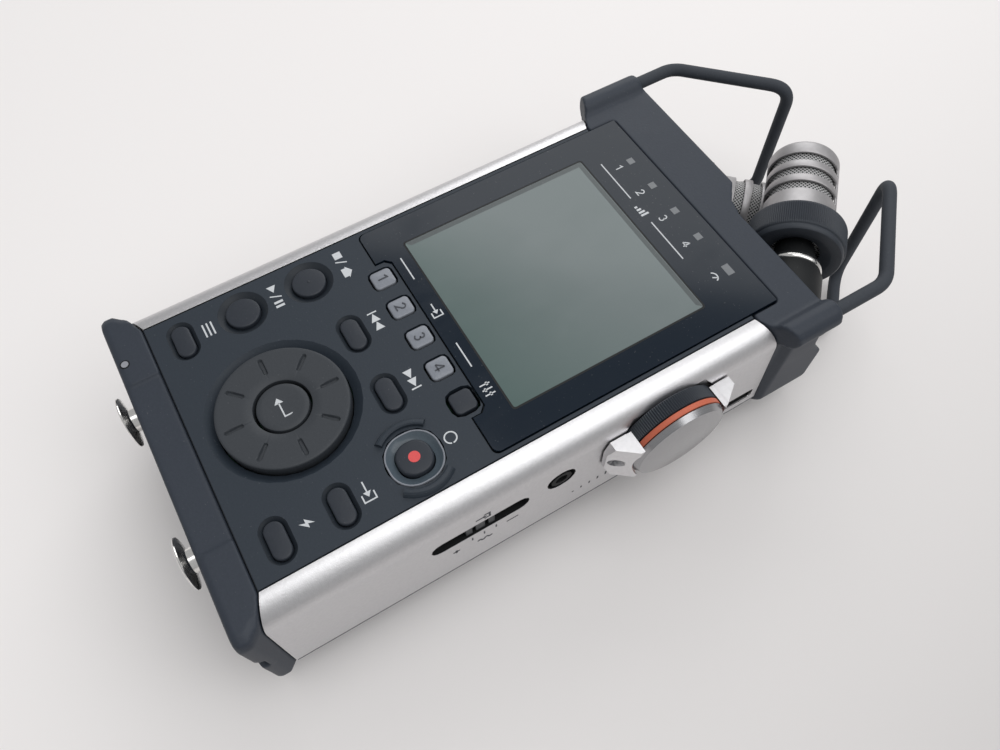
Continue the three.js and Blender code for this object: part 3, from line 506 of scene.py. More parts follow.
def handling_marks(tree, given):
    """Faint smears from hands, and a little dust, as two masks."""
    broad = tree.noise(given["Vector"], 55.0, 3.0, 0.55)
    streaks = tree.add("Mapping", {"Vector": given["Vector"], "Scale": (1.0, 0.35, 1.0)}).outputs[0]
    fine = tree.noise(streaks, 320.0, 4.0, 0.65)
    smear = tree.times(tree.remap(broad, 0.42, 0.68), tree.remap(fine, 0.35, 0.7))
    specks = tree.noise(given["Vector"], 2600.0, 1.0, 0.4)
    dust = tree.times(tree.remap(specks, 0.74, 0.8), given["Dust"])
    return {"Smear": tree.times(smear, given["Amount"]), "Dust": dust}


def blasted_metal(tree, given):
    """The fine peened surface of blasted and anodised aluminium."""
    coarse = tree.noise(given["Vector"], 1500.0, 2.0, 0.5)
    fine = tree.noise(given["Vector"], 5200.0, 2.0, 0.6)
    height = tree.plus(tree.times(coarse, 0.35), tree.times(fine, 0.65))
    return {"Height": height, "Shade": tree.remap(coarse, 0.3, 0.7, 0.97, 1.03)}


def turned_lines(tree, given):
    """Fine cutting lines that run round an axis, from the distance to it."""
    away = tree.vector("SUBTRACT", given["Vector"], given["Centre"])[0]
    flat = tree.vector("MULTIPLY", away, given["Plane"])[0]
    radius = tree.vector("LENGTH", flat)["Value"]
    line = tree.add("CombineXYZ", {0: tree.times(radius, 6000.0)}).outputs[0]
    cut = tree.noise(line, 1.0, 3.0, 0.7)
    return {"Height": cut, "Shade": tree.remap(cut, 0.3, 0.7, 0.93, 1.05)}


# Each shared effect: its function, its inputs with their defaults (None is a vector), and its outputs
SHARED = {
    "Moulded grain": (moulded_grain, {"Vector": None, "Scale": 2500.0}, ("Height", "Shade")),
    "Handling marks": (handling_marks, {"Vector": None, "Amount": 0.5, "Dust": 0.3}, ("Smear", "Dust")),
    "Blasted metal": (blasted_metal, {"Vector": None}, ("Height", "Shade")),
    "Turned lines": (turned_lines, {"Vector": None, "Centre": None, "Plane": None}, ("Height", "Shade")),
}
GROUPS = {}
MATERIALS = {}


def shared(name):
    """A shader node group with named sockets, built once."""
    if name not in GROUPS:
        fill, inputs, outputs = SHARED[name]
        made = bpy.data.node_groups.new(name, "ShaderNodeTree")
        for label, default in inputs.items():
            kind = "NodeSocketVector" if default is None else "NodeSocketFloat"
            socket = made.interface.new_socket(name=label, in_out="INPUT", socket_type=kind)
            if default is not None:
                socket.default_value = default
        for label in outputs:
            made.interface.new_socket(name=label, in_out="OUTPUT", socket_type="NodeSocketFloat")
        start = made.nodes.new("NodeGroupInput")
        end = made.nodes.new("NodeGroupOutput")
        for label, value in fill(Tree(made), start.outputs).items():
            made.links.new(value, end.inputs[label])
        GROUPS[name] = made
    return GROUPS[name]


def built(name, values):
    """A material, built once. values gives the shader's inputs from its tree and object coordinates."""
    if name not in MATERIALS:
        made = bpy.data.materials.new(name)
        made.use_nodes = True
        made.node_tree.nodes.clear()
        tree = Tree(made.node_tree)
        surface = tree.add("BsdfPrincipled")
        tree.add("OutputMaterial", {"Surface": surface.outputs[0]})
        tree.set(surface, values(tree, tree.add("TexCoord").outputs["Object"]))
        MATERIALS[name] = made
    return MATERIALS[name]


def opaque(colour):
    return (*colour, 1.0)


def look():
    return bpy.context.scene.recorder


def plastic(name, colour, roughness=0.5, grain=2500.0, depth=0.25, smear=0.4, coat=0.0, dust=0.25):
    """Moulded plastic or rubber: fine grain, faint smears and dust."""

    def values(tree, coords):
        texture = tree.use("Moulded grain", {"Vector": coords, "Scale": grain})
        marks = tree.use("Handling marks", {"Vector": coords, "Amount": smear, "Dust": dust})
        tinted = tree.tint(opaque(colour), texture["Shade"])
        surface = {
            "Base Color": tree.mix(tree.times(marks["Dust"], 0.35), tinted, (0.4, 0.4, 0.4, 1)),
            "Roughness": tree.plus(tree.times(marks["Smear"], -0.16), roughness),
            "Normal": tree.bump(texture["Height"], depth, 0.00005),
            "Specular IOR Level": 0.3,
        }
        if coat:
            surface.update({"Coat Weight": coat, "Coat Roughness": 0.12})
        return surface

    return built(name, values)


def aluminium(name, colour, roughness, depth):
    """Blasted and anodised aluminium with a satin sheen."""

    def values(tree, coords):
        texture = tree.use("Blasted metal", {"Vector": coords})
        marks = tree.use("Handling marks", {"Vector": coords, "Amount": 0.5, "Dust": 0.1})
        return {
            "Base Color": tree.tint(opaque(colour), texture["Shade"]),
            "Metallic": 1.0,
            "Roughness": tree.plus(tree.times(marks["Smear"], 0.06), roughness),
            "Normal": tree.bump(texture["Height"], depth, 0.00003),
        }

    return built(name, values)


def plain_metal(name, colour, roughness, depth):
    """Plated or coated metal with a faint unevenness."""

    def values(tree, coords):
        marks = tree.use("Handling marks", {"Vector": coords, "Amount": 0.8, "Dust": 0.1})
        uneven = tree.noise(coords, 900.0, 3.0, 0.6)
        return {
            "Base Color": tree.tint(opaque(colour), tree.remap(uneven, 0.3, 0.7, 0.95, 1.04)),
            "Metallic": 1.0,
            "Roughness": tree.plus(tree.times(marks["Smear"], 0.1), roughness),
            "Normal": tree.bump(uneven, depth, 0.00003),
        }

    return built(name, values)


def turned_metal(name, colour, roughness, centre, axis, depth):
    """Metal with fine cutting lines round an axis."""

    def values(tree, coords):
        across = tuple(1.0 - abs(v) for v in axis)
        given = {"Vector": coords, "Centre": tuple(place(*centre)), "Plane": across}
        lines = tree.use("Turned lines", given)
        return {
            "Base Color": tree.tint(opaque(colour), lines["Shade"]),
            "Metallic": 1.0,
            "Roughness": tree.remap(lines["Height"], 0.3, 0.7, roughness - 0.05, roughness + 0.06),
            "Normal": tree.bump(lines["Height"], depth, 0.00002),
        }

    return built(name, values)


def gloss_lens(tree, coords):
    """The gloss window over the display, with smears and dust."""
    marks = tree.use("Handling marks", {"Vector": coords, "Amount": 1.0, "Dust": 0.6})
    dust = tree.times(marks["Dust"], 0.3)
    return {
        "Base Color": tree.mix(dust, opaque(look().lens_colour), (0.3, 0.3, 0.3, 1)),
        "Roughness": tree.remap(marks["Smear"], 0.0, 1.0, 0.12, 0.24),
        "Specular IOR Level": 0.30,
    }


def display_face(tree, coords):
    """The unlit display: grey glass with faint cells, with a painted reflection that makes it paler above a
    slanted line.
    """
    marks = tree.use("Handling marks", {"Vector": coords, "Amount": 1.0, "Dust": 0.8})
    split = tree.add("SeparateXYZ", {0: coords}).outputs
    slope = tree.plus(split[1], tree.times(split[0], -0.3))
    wander = tree.times(tree.noise(coords, 60.0, 2.0, 0.5), 0.006)
    # The painted reflection makes the display paler over this length above its foot
    low, reach = place(0, 48, 0).y, 0.034
    factor = tree.remap(tree.plus(slope, wander), low, low + reach)
    # pale is the display's colour inside the painted reflection, deep its colour outside it
    pale = look().display_colour
    deep = (pale[0] * 0.52, pale[1] * 0.66, pale[2] * 0.62, 1.0)
    # Waves of the cells, in radians to a metre
    rate = 15700.0
    across, along = (tree.math("SINE", tree.times(part, rate)) for part in split[:2])
    cells = tree.remap(tree.times(across, along), -1.0, 1.0, 0.97, 1.03)
    return {
        "Base Color": tree.tint(tree.mix(factor, deep, opaque(pale)), cells),
        "Roughness": tree.remap(marks["Smear"], 0.0, 1.0, 0.12, 0.3),
        "Specular IOR Level": 0.3,
    }


def wire_cloth(tree, coords):
    """Fine wire cloth woven on the diagonal, dark between its strands."""
    split = tree.add("SeparateXYZ", {0: tree.add("UVMap").outputs[0]}).outputs
    rate = TURN / (look().weave / MM) * 0.7071
    waves = []
    for way in ("ADD", "SUBTRACT"):
        wave = tree.math("SINE", tree.times(tree.math(way, split[0], split[1]), rate))
        waves.append(tree.math("ABSOLUTE", wave))
    strand = tree.math("MAXIMUM", *waves)
    gap, wire = (0.004, 0.005, 0.006, 1), (0.55, 0.55, 0.55, 1)
    return {
        "Base Color": tree.mix(tree.remap(strand, 0.84, 0.97), gap, wire),
        "Roughness": 0.4,
        "Normal": tree.bump(strand, 0.6, 0.0001),
    }


# Each finish: its maker, its colour or the setting that holds it, the share of that colour, and
# for plastic the roughness, grain, depth of grain, smear, coat and dust, for metal the roughness and depth
FINISHES = {
    "blasted aluminium": (aluminium, "metal_colour", 1.0, 0.38, 1.5),
    # The sides' aluminium made brighter as painted light, for the lit faces of the dial guards and their
    # lips
    "cut aluminium": (aluminium, "metal_colour", 1.15, 0.34, 0.5),
    "microphone steel": (plain_metal, "steel_colour", 1.0, 0.5, 0.15),
    "bright plate": (plain_metal, (0.78, 0.77, 0.75), 1.0, 0.16, 0.1),
    "strap pin plate": (plain_metal, (0.45, 0.46, 0.5), 1.0, 0.4, 0.1),
    "dark plate": (plain_metal, (0.16, 0.165, 0.175), 1.0, 0.32, 0.1),
    "panel plastic": (plastic, "panel_colour", 1.0, 0.5, 2600.0, 0.3, 0.5),
    # Panel plastic at three fifths of its colour, as painted shade in the key wells and in the seam at the
    # panel's lower end
    "well plastic": (plastic, "panel_colour", 0.6, 0.5, 2600.0, 0.2, 0.2),
    "cap plastic": (plastic, "cap_colour", 1.0, 0.52, 1900.0, 0.4, 0.35),
    "key rubber": (plastic, "key_colour", 1.0, 0.42, 2200.0, 0.2, 0.3),
    "wheel plastic": (plastic, "wheel_colour", 1.0, 0.5, 2600.0, 0.2, 0.4),
    "grip plastic": (plastic, "grip_colour", 1.0, 0.5, 2600.0, 0.15, 0.3),
    "wire coating": (plastic, "wire_colour", 1.0, 0.68, 1700.0, 0.15, 0.3),
    "orange band": (plastic, "band_colour", 1.0, 0.42, 2600.0, 0.1, 0.2),
    "light plastic": (plastic, "light_colour", 1.0, 0.36, 2200.0, 0.05, 0.1, 0.3),
    "ring plastic": (plastic, "light_colour", (0.36, 0.44, 0.47), 0.36, 2200.0, 0.05, 0.1, 0.3),
    "white print": (plastic, "print_colour", 1.0, 0.6, 2600.0, 0.0, 0.0),
    "dark print": (plastic, (0.06, 0.064, 0.074), 1.0, 0.6, 2600.0, 0.0, 0.0),
    "red print": (plastic, "record_colour", 1.0, 0.5, 2600.0, 0.0, 0.0),
    "dark rubber": (plastic, (0.008, 0.009, 0.010), 1.0, 0.6, 2200.0, 0.3, 0.2),
    "slider plastic": (plastic, (0.026, 0.029, 0.033), 1.0, 0.45, 2600.0, 0.1, 0.2),
    # Near black: painted shade for the liners, for the strap eye's seat, and in the ports over their own
    # dark plastic
    "deep black": (plastic, (0.003, 0.0035, 0.004), 1.0, 0.7, 2600.0, 0.0, 0.0, 0.0, 0.0),
    # A darker grey for the strip of painted shadow along the display's left and upper side
    "display edge": (plastic, (0.085, 0.098, 0.1), 1.0, 0.3, 2600.0, 0.0, 0.2),
    "lamp window": (plastic, (0.17, 0.18, 0.19), 1.0, 0.3, 2600.0, 0.0, 0.1),
    "board fibre": (plastic, (0.02, 0.09, 0.05), 1.0, 0.4),
    "cell sleeve": (plastic, (0.05, 0.07, 0.1), 1.0, 0.3),
}


def finish(name):
    """One of the finishes above, in the colour that the settings give."""
    maker, colour, share, *values = FINISHES[name]
    if isinstance(colour, str):
        colour = getattr(look(), colour)
    shares = share if isinstance(share, tuple) else (share,) * 3
    return maker(name, tuple(min(1.0, v * s) for v, s in zip(colour, shares)), *values)


# Settings


def length(name, description, default, least=0.0):
    return bpy.props.FloatProperty(
        name=name, description=description, default=default, min=least, unit="LENGTH"
    )


def number(name, description, default, least):
    return bpy.props.IntProperty(name=name, description=description, default=default, min=least)


def tone(name, description, default):
    return bpy.props.FloatVectorProperty(
        name=name, description=description, default=default, min=0.0, max=1.0, subtype="COLOR"
    )


def power(name, description, default):
    return bpy.props.FloatProperty(
        name=name, description=description, default=default, min=0.0, subtype="POWER"
    )


class RecorderSettings(bpy.types.PropertyGroup):
    """Sizes and colours of the recorder's finishes and small forms."""

    edge: length("Edge softness", "Rounding of the moulded edges", 0.00022)
    print_height: length("Print height", "How far printed marks stand above the surface under them", 0.00003)
    line: length("Line width", "Width of the strokes of the printed marks", 0.00027)
    round_recess: length("Round recess", "Width of the sloped recess round each round key", 0.0005)
    long_recess: length("Long recess", "Width of the sloped recess round each long key", 0.0002)
    groove: length("Wheel groove", "Depth of the eight marks on the jog wheel", 0.0005)
    weave: length("Weave", "Distance between the strands of the wire cloth", 0.0012, 0.0001)
    dial_ridges: number("Dial ridges", "Ridges round the level ring", 138, 12)
    ring_ridges: number("Microphone ring ridges", "Knurls round each microphone's ring", 150, 12)
    metal_colour: tone("Aluminium", "Colour of the aluminium sides", (0.62, 0.615, 0.625))
    panel_colour: tone("Panel", "Colour of the front panel", (0.022, 0.030, 0.041))
    cap_colour: tone("End caps", "Colour of the two end caps and the back", (0.029, 0.036, 0.049))
    key_colour: tone("Keys", "Colour of the dark keys", (0.023, 0.028, 0.037))
    wheel_colour: tone("Wheel", "Colour of the jog wheel and the key in it", (0.036, 0.041, 0.048))
    wire_colour: tone("Wire guards", "Colour of the coated wires", (0.038, 0.044, 0.054))
    grip_colour: tone("Grips", "Colour of the dial's grip and the microphones' rings", (0.035, 0.041, 0.051))
    band_colour: tone("Dial band", "Colour of the band on the level dial", (0.50, 0.125, 0.07))
    light_colour: tone("Lit plastic", "Colour of the numbered keys and record ring", (0.20, 0.215, 0.245))
    lens_colour: tone("Lens", "Colour of the gloss border round the display", (0.005, 0.011, 0.020))
    # The display's colour where the painted reflection makes it pale; further down it is a darker share of
    # this
    display_colour: tone("Display", "Colour of the display, unlit", (0.155, 0.184, 0.184))
    print_colour: tone("Print", "Colour of the printed marks", (0.56, 0.58, 0.60))
    knob_colour: tone("Dial knob", "Colour of the turned knob", (0.36, 0.36, 0.37))
    steel_colour: tone("Microphones", "Colour of the microphones' slotted housings", (0.43, 0.42, 0.425))
    record_colour: tone("Record dot", "Colour of the dot on the record key", (0.66, 0.085, 0.085))


class StageSettings(bpy.types.PropertyGroup):
    """Values of the light, the floor and the camera."""

    window_power: power("Window light", "Power of the large light beyond the microphones' side", 7.0)
    ceiling_power: power("Ceiling light", "Power of the light overhead", 7.2)
    room: bpy.props.FloatProperty(
        name="Room light", description="Strength of the light from all sides", default=0.46, min=0.0
    )
    floor_colour: tone("Floor", "Colour of the floor", (0.86, 0.835, 0.825))
    # Painted shade: how much of the floor's colour is taken away towards the near right, in place of the
    # light's falloff
    floor_painted_shade: bpy.props.FloatProperty(
        name="Floor painted shade",
        description="Share of the floor's colour that is lost from the far left to the near right",
        default=0.46,
        min=0.0,
        max=1.0,
        subtype="FACTOR",
    )
    lens: bpy.props.FloatProperty(
        name="Focal length",
        description="Focal length of the camera",
        default=0.029263,
        min=0.001,
        subtype="DISTANCE_CAMERA",
    )


# Operators


class RECORDER_OT_body(bpy.types.Operator):
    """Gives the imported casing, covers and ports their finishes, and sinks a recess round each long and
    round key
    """

    bl_idname = "recorder.body"
    bl_label = "Body"
    bl_options = {"REGISTER", "UNDO"}

    # Room round a key at the top of its recess, and how deep each kind of recess goes
    ROOM, LONG_DEPTH, ROUND_DEPTH = 0.6, 0.5, 1.4
    # Height over a side's foot that still counts as its edge, and how far that edge is let down
    FOOT_BAND, FOOT_DROP = 0.02, 0.25
    # Reach of a guard lip's near and far face from the dial's axis, its half width and its height
    LIP_NEAR, LIP_FAR, LIP_HALF, LIP_TOP = 10.8, 11.95, 5.75, 4.79
    # Where the lip starts to slope away, and how steeply
    LIP_CREST, LIP_FALL = 10.0, 3.9 / 5.1
    # Section of the screw beside the lip, and its distance from the dial's axis
    SCREW = ((0, 0.9), (1.45, 0.9), (1.45, 1.3), (1.2, 1.6), (0.6, 1.7), (0.5, 1.35), (0, 1.3))
    SCREW_AWAY = 13.2
    # How much longer a switch is behind its slot, the room beside its thumb, and the thumb's foot
    SWITCH_TAILS, THUMB_ROOM, THUMB_FOOT = 7.2, 0.7, -3.1
    # Ends of the thumb's two notches from its middle, and the depth of its face and of their floor
    NOTCH_NEAR, NOTCH_FAR, THUMB_FACE, NOTCH_FLOOR = 1.0, 1.7, -0.35, -1.1
    # Section of the black liner of painted shade on the wall of each round jack's hole
    JACK_SLEEVE = ((3.19, -1.3), (3.19, -0.05), (3.05, -0.05), (3.05, -1.3))
    STRAP_EYE = (-23.9, -5.6)

    def recess(self, node, reach, depth):
        """The space above a sloped recess round a key."""
        width, long = (size + self.ROOM for size in face_size(node))
        rows = [(reach, FRONT + 0.5), (reach, FRONT + 0.001), (reach - 0.05, FRONT - 0.1)]
        rows.append((0.1, FRONT - depth))
        return moved(stack(round_ended(width, long, rows)), over(node))

    def side_panel(self, name, side):
        """A side whose bend is truly round and whose foot is let down into the back cover's seam."""
        node = name + "_side_panel"
        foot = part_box(node)[0].z

        def bend(bm):
            rounded_corner(bm, SIDE - CORNER, FRONT - CORNER, CORNER, CORNER - SHEET, side)
            for vert in bm.verts:
                if abs(vert.co.z - foot) < self.FOOT_BAND * MM:
                    vert.co.z -= self.FOOT_DROP * MM

        carved(node, finish("blasted aluminium"), 0.12, reshape=bend)

    def dial_guard(self, node, way, edge):
        """A wedge beside the dial, the lip that carries its slope closer to the dial, and its screw."""
        # The guard and its lip are in the aluminium made brighter as painted light
        dress(node, finish("cut aluminium"), edge * 0.7)
        axis = middle("level_knob")
        base = x_range(node)[0]
        half, crest, top = self.LIP_HALF, self.LIP_CREST, self.LIP_TOP
        points = []
        for radius, start, end in ((self.LIP_NEAR, -half, half), (self.LIP_FAR, half, -half)):
            for k in range(13):
                across = start + (end - start) * k / 12
                points.append((across, math.sqrt(radius * radius - across * across)))
        strip = prism(points, 0.05, top)
        everything = strip.verts[:] + strip.edges[:] + strip.faces[:]
        bmesh.ops.bisect_plane(strip, geom=everything, dist=1e-5, plane_co=(0, crest, 0), plane_no=(0, 1, 0))
        for vert in strip.verts:
            if vert.co.z > 1:
                vert.co.z = top - max(0.0, vert.co.y - crest) * self.LIP_FALL
        turn = Matrix(((0, 0, 1, base), (0, way, 0, axis.y), (1, 0, 0, axis.z), (0, 0, 0, 1)))
        finished(node + "_lip", strip, finish("cut aluminium"), at=turn)
        screw = lathe(self.SCREW, 32)
        turn = side_frame(base, axis.y + way * self.SCREW_AWAY, axis.z)
        finished(node + "_screw", screw, finish("dark plate"), at=turn)

    def slider(self, node, side, slot, height):
        """A black liner of painted shade on the walls of a slide switch's slot, and the switch's flat thumb
        piece with two notches.
        """
        at = middle(node)
        out = side_frame(side * SIDE, at.y, at.z, side)
        # The liner is painted shade on the slot's walls
        rows = ((-0.005, -1.3), (-0.005, -0.05), (-0.15, -0.05), (-0.15, -1.3))
        finished(node + "_sleeve", hoop(round_ended(height, slot, rows, 10)), finish("deep black"), at=out)
        half = (span(node).y - self.SWITCH_TAILS) / 2
        width = height - self.THUMB_ROOM
        near, far = self.NOTCH_NEAR, self.NOTCH_FAR
        face, floor = self.THUMB_FACE, self.NOTCH_FLOOR
        stops = (-half, -far, -near, near, far, half)
        profile = [(-half, self.THUMB_FOOT)]
        for start, end, level in zip(stops, stops[1:], (face, floor, face, floor, face)):
            profile += [(start, level), (end, level)]
        profile.append((half, self.THUMB_FOOT))
        thumb = moved(prism(profile, -width / 2, width / 2), SIDEWAYS)
        dark = finish("slider plastic")
        piece = finished(node + "_thumb", thumb, dark, node, (node,), out)
        soften(piece, 0.12)

    def execute(self, context):
        values = context.scene.recorder
        edge = values.edge / MM
        spaces = [self.recess(node, values.long_recess / MM, self.LONG_DEPTH) for node in LONG_KEYS]
        spaces += [self.recess(node, values.round_recess / MM, self.ROUND_DEPTH) for node in ROUND_KEYS]
        carved("front_bezel", finish("panel plastic"), edge * 0.7, merge(*spaces))
        for node in ("top_cap", "bottom_cap"):
            melt(node, finish("cap plastic"), 0.4, 3)
        for name, side in SIDES:
            self.side_panel(name, side)
        for node, way in (("lower_dial_guard", -1), ("upper_dial_guard", 1)):
            self.dial_guard(node, way, edge)
        # A dark block of painted shade in the seam at the panel's lower end
        groove = prism(oblong(-30.5, -0.2, 30.5, 0.45), FRONT - 1.2, FRONT - 0.4)
        finished("cap_groove", groove, finish("well plastic"))
        at = Matrix.Translation((*self.STRAP_EYE, FRONT))
        # The seat is a near-black disc of painted shade in the strap eye, round the pin
        eyes = (("seat", 0.95, 0.02, "deep black"), ("pin", 0.7, 0.05, "strap pin plate"))
        for name, r, high, material in eyes:
            eye = lathe(((0, -0.4), (r, -0.4), (r, high), (0, high)), 32)
            finished("strap_" + name, eye, finish(material), at=at)
        self.slider("input_switch", 1, 21.0, 4.6)
        self.slider("power_switch", -1, 15.0, 4.2)
        for node, side in (("remote_jack", 1), ("phones_jack", -1)):
            at = middle(node)
            # A black liner of painted shade on the hole's wall
            hole = lathe(self.JACK_SLEEVE, 48)
            out = side_frame(side * SIDE, at.y, at.z, side)
            finished(node + "_sleeve", hole, finish("deep black"), at=out)
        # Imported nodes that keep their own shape, with their finish and the rounding of their edges
        for node, material, bevel in (
            ("back_cover", "cap plastic", edge * 2.5),
            ("battery_door", "cap plastic", edge),
            ("card_door", "dark rubber", edge),
            ("volume_key", "key rubber", edge),
            # The ports are near black: their own dark plastic, darkened further as painted shade inside them
            ("remote_jack", "deep black", 0.1),
            ("phones_jack", "deep black", 0.1),
            ("usb_port", "deep black", 0.1),
            ("tripod_bush", "bright plate", 0.1),
            ("speaker", "dark plate", 0.1),
            ("circuit_board", "board fibre", 0),
            ("key_board", "board fibre", 0),
            ("lcd_module", "dark plate", 0),
            ("level_control", "dark plate", 0.1),
        ):
            dress(node, finish(material), bevel)
        for i in range(1, 5):
            dress("battery_cell_%d" % i, finish("cell sleeve"), 0.2)
        return {"FINISHED"}


class RECORDER_OT_display(bpy.types.Operator):
    """Gives the lens its finish, and adds the face of the unlit display, its border and a strip of painted
    shadow along its left and upper side
    """

    bl_idname = "recorder.display"
    bl_label = "Display"
    bl_options = {"REGISTER", "UNDO"}

    # Middle of the display on the lens
    MIDDLE = (0.25, 75.1)
    # Outline of the thin strip of painted shadow from the lens's thickness along its left and upper side,
    # about that middle
    EDGE = ((-22, 21.5), (-22, -21.5), (-20.9, -20.6), (-20.9, 20.5), (21, 20.5), (22, 21.5))
    SHADOW_STRIP_HIGH = 0.04

    def execute(self, context):
        dress("display_lens", built("gloss lens", gloss_lens), 0.12)
        at = Matrix.Translation((*self.MIDDLE, top_of("display_lens")))
        for name, width, long, radius, high, material, slot in (
            ("display_border", 44.9, 44.0, 0.7, 0.02, finish("dark rubber"), "lens_plastic"),
            ("display_window", 44.1, 43.2, 0.5, 0.035, built("display face", display_face), "display_glass"),
        ):
            sheet = stack([rounded_loop(width, long, radius, z, 4) for z in (0.0, high)])
            finished(name, sheet, material, at=at)
        # A thin strip of painted shadow where the lens's thickness shades the display
        edge = prism(self.EDGE, 0.0, self.SHADOW_STRIP_HIGH)
        finished("display_edge", edge, finish("display edge"), at=at)
        return {"FINISHED"}


class RECORDER_OT_keys(bpy.types.Operator):
    """Adds the crowned keys, and the record key with its light"""

    bl_idname = "recorder.keys"
    bl_label = "Keys"
    bl_options = {"REGISTER", "UNDO"}

    # Corner radius of each lone key's face, its inset, how far it is sunk, and its rounded edge
    LONE_KEYS = {"record_key": (3.15, 0.36, 0.05, 0.5), "mixer_key": (1.1, 0.4, 0.2, 0.3)}
    # The same for the numbered keys
    TRACK_SIZES = (0.9, 0.15, 0.1, 0.3)
    # How far a cap reaches down, the rise of its face, and how far the long and round keys are sunk
    SKIRT, CROWN, SUNK = 2.8, 0.1, 0.25
    # Section of the pip on the stop key
    PIP = ((0, -0.1), (0.34, -0.1), (0.3, 0.04), (0.18, 0.12), (0, 0.14))
    # Corner radius of the record key's light
    LIGHT_CORNER = 4.7
    # Section of the record key's light and of its rim: steps inwards and height under its top
    DISH = ((0.2, -2.2), (0.2, -0.06), (0.5, -0.35), (0.9, -0.7), (1.3, -0.95), (1.74, -1.1), (1.74, -2.2))
    RIM = ((0, -2.2), (0, -0.12), (0.08, -0.02), (0.2, 0), (0.32, -0.1), (0.32, -2.2))
    # Section of the raised arcs beside it: distance from the key's middle and height over the panel
    ARC = ((6.15, -0.3), (7.8, -0.3), (7.75, 0.0), (7.6, 0.3))
    ARC += ((7.15, 0.85), (6.9, 0.95), (6.45, 0.95), (6.2, 0.75))
    # Start of each arc and how far it runs, in half turns
    ARC_STARTS, ARC_SWEEP, ARC_STEPS = (-0.235, 0.765), 0.47, 24

    def cap(self, node, radius, inset, sunk, edge, name="key rubber", slot="key_rubber"):
        """A key's domed cap. Without a radius its ends are round."""
        width, long = (size - 2 * inset for size in face_size(node))
        high = top_of(node) - sunk
        radius = radius or min(width, long) / 2
        key = crowned(width, long, radius, high - self.SKIRT, high, self.CROWN, edge)
        finished(node + "_cap", key, finish(name), node, (node,), over(node), 50)

    def well(self, node, reach, inset, depth):
        """The sloped ring between the panel and a key, in panel plastic darkened as painted shade."""
        near, far = 0.12 - inset, reach
        rows = ((0.28 + far, -0.03), (near, -depth), (near, -depth - 0.3), (0.2 + far, -0.35))
        ring = hoop(round_ended(*face_size(node), [(r, FRONT + z) for r, z in rows]))
        finished(node + "_well", ring, finish("well plastic"), at=over(node), sharp=30)

    def execute(self, context):
        values = context.scene.recorder
        for nodes, reach, inset, edge, depth in (
            (LONG_KEYS, values.long_recess, 0.35, 0.4, 0.7),
            (ROUND_KEYS, values.round_recess, 0.75, 0.35, 0.9),
        ):
            for node in nodes:
                self.cap(node, None, inset, self.SUNK, edge)
                self.well(node, reach / MM, inset, depth)
        pip = lathe(self.PIP, 24)
        at = over("stop_key", top_of("stop_key") - self.SUNK)
        finished("stop_key_pip", pip, finish("key rubber"), "stop_key", at=at)
        for node, sizes in self.LONE_KEYS.items():
            self.cap(node, *sizes)
        for node in TRACK_KEYS:
            self.cap(node, *self.TRACK_SIZES, "light plastic", "light_plastic")
        at = over("record_key")
        for i, start in enumerate(self.ARC_STARTS):
            loops = []
            for k in range(self.ARC_STEPS + 1):
                turn = (start + self.ARC_SWEEP * k / self.ARC_STEPS) * math.pi
                x, y = math.cos(turn), math.sin(turn)
                loops.append([Vector((r * x, r * y, FRONT + z)) for r, z in self.ARC])
            name = "record_arc_%d" % (i + 1)
            finished(name, stack(loops), finish("panel plastic"), at=at)
        light = "record_light_ring"
        half, high = span(light).x / 2, top_of(light)
        for name, section, material in (
            ("record_light", self.DISH, "ring plastic"),
            ("record_light_rim", self.RIM, "light plastic"),
        ):
            loops = []
            for s, z in section:
                side = 2 * (half - s)
                loops.append(rounded_loop(side, side, self.LIGHT_CORNER - s, high + z, 10))
            finished(name, hoop(loops), finish(material), BODY, (light,), at, 50)
        return {"FINISHED"}


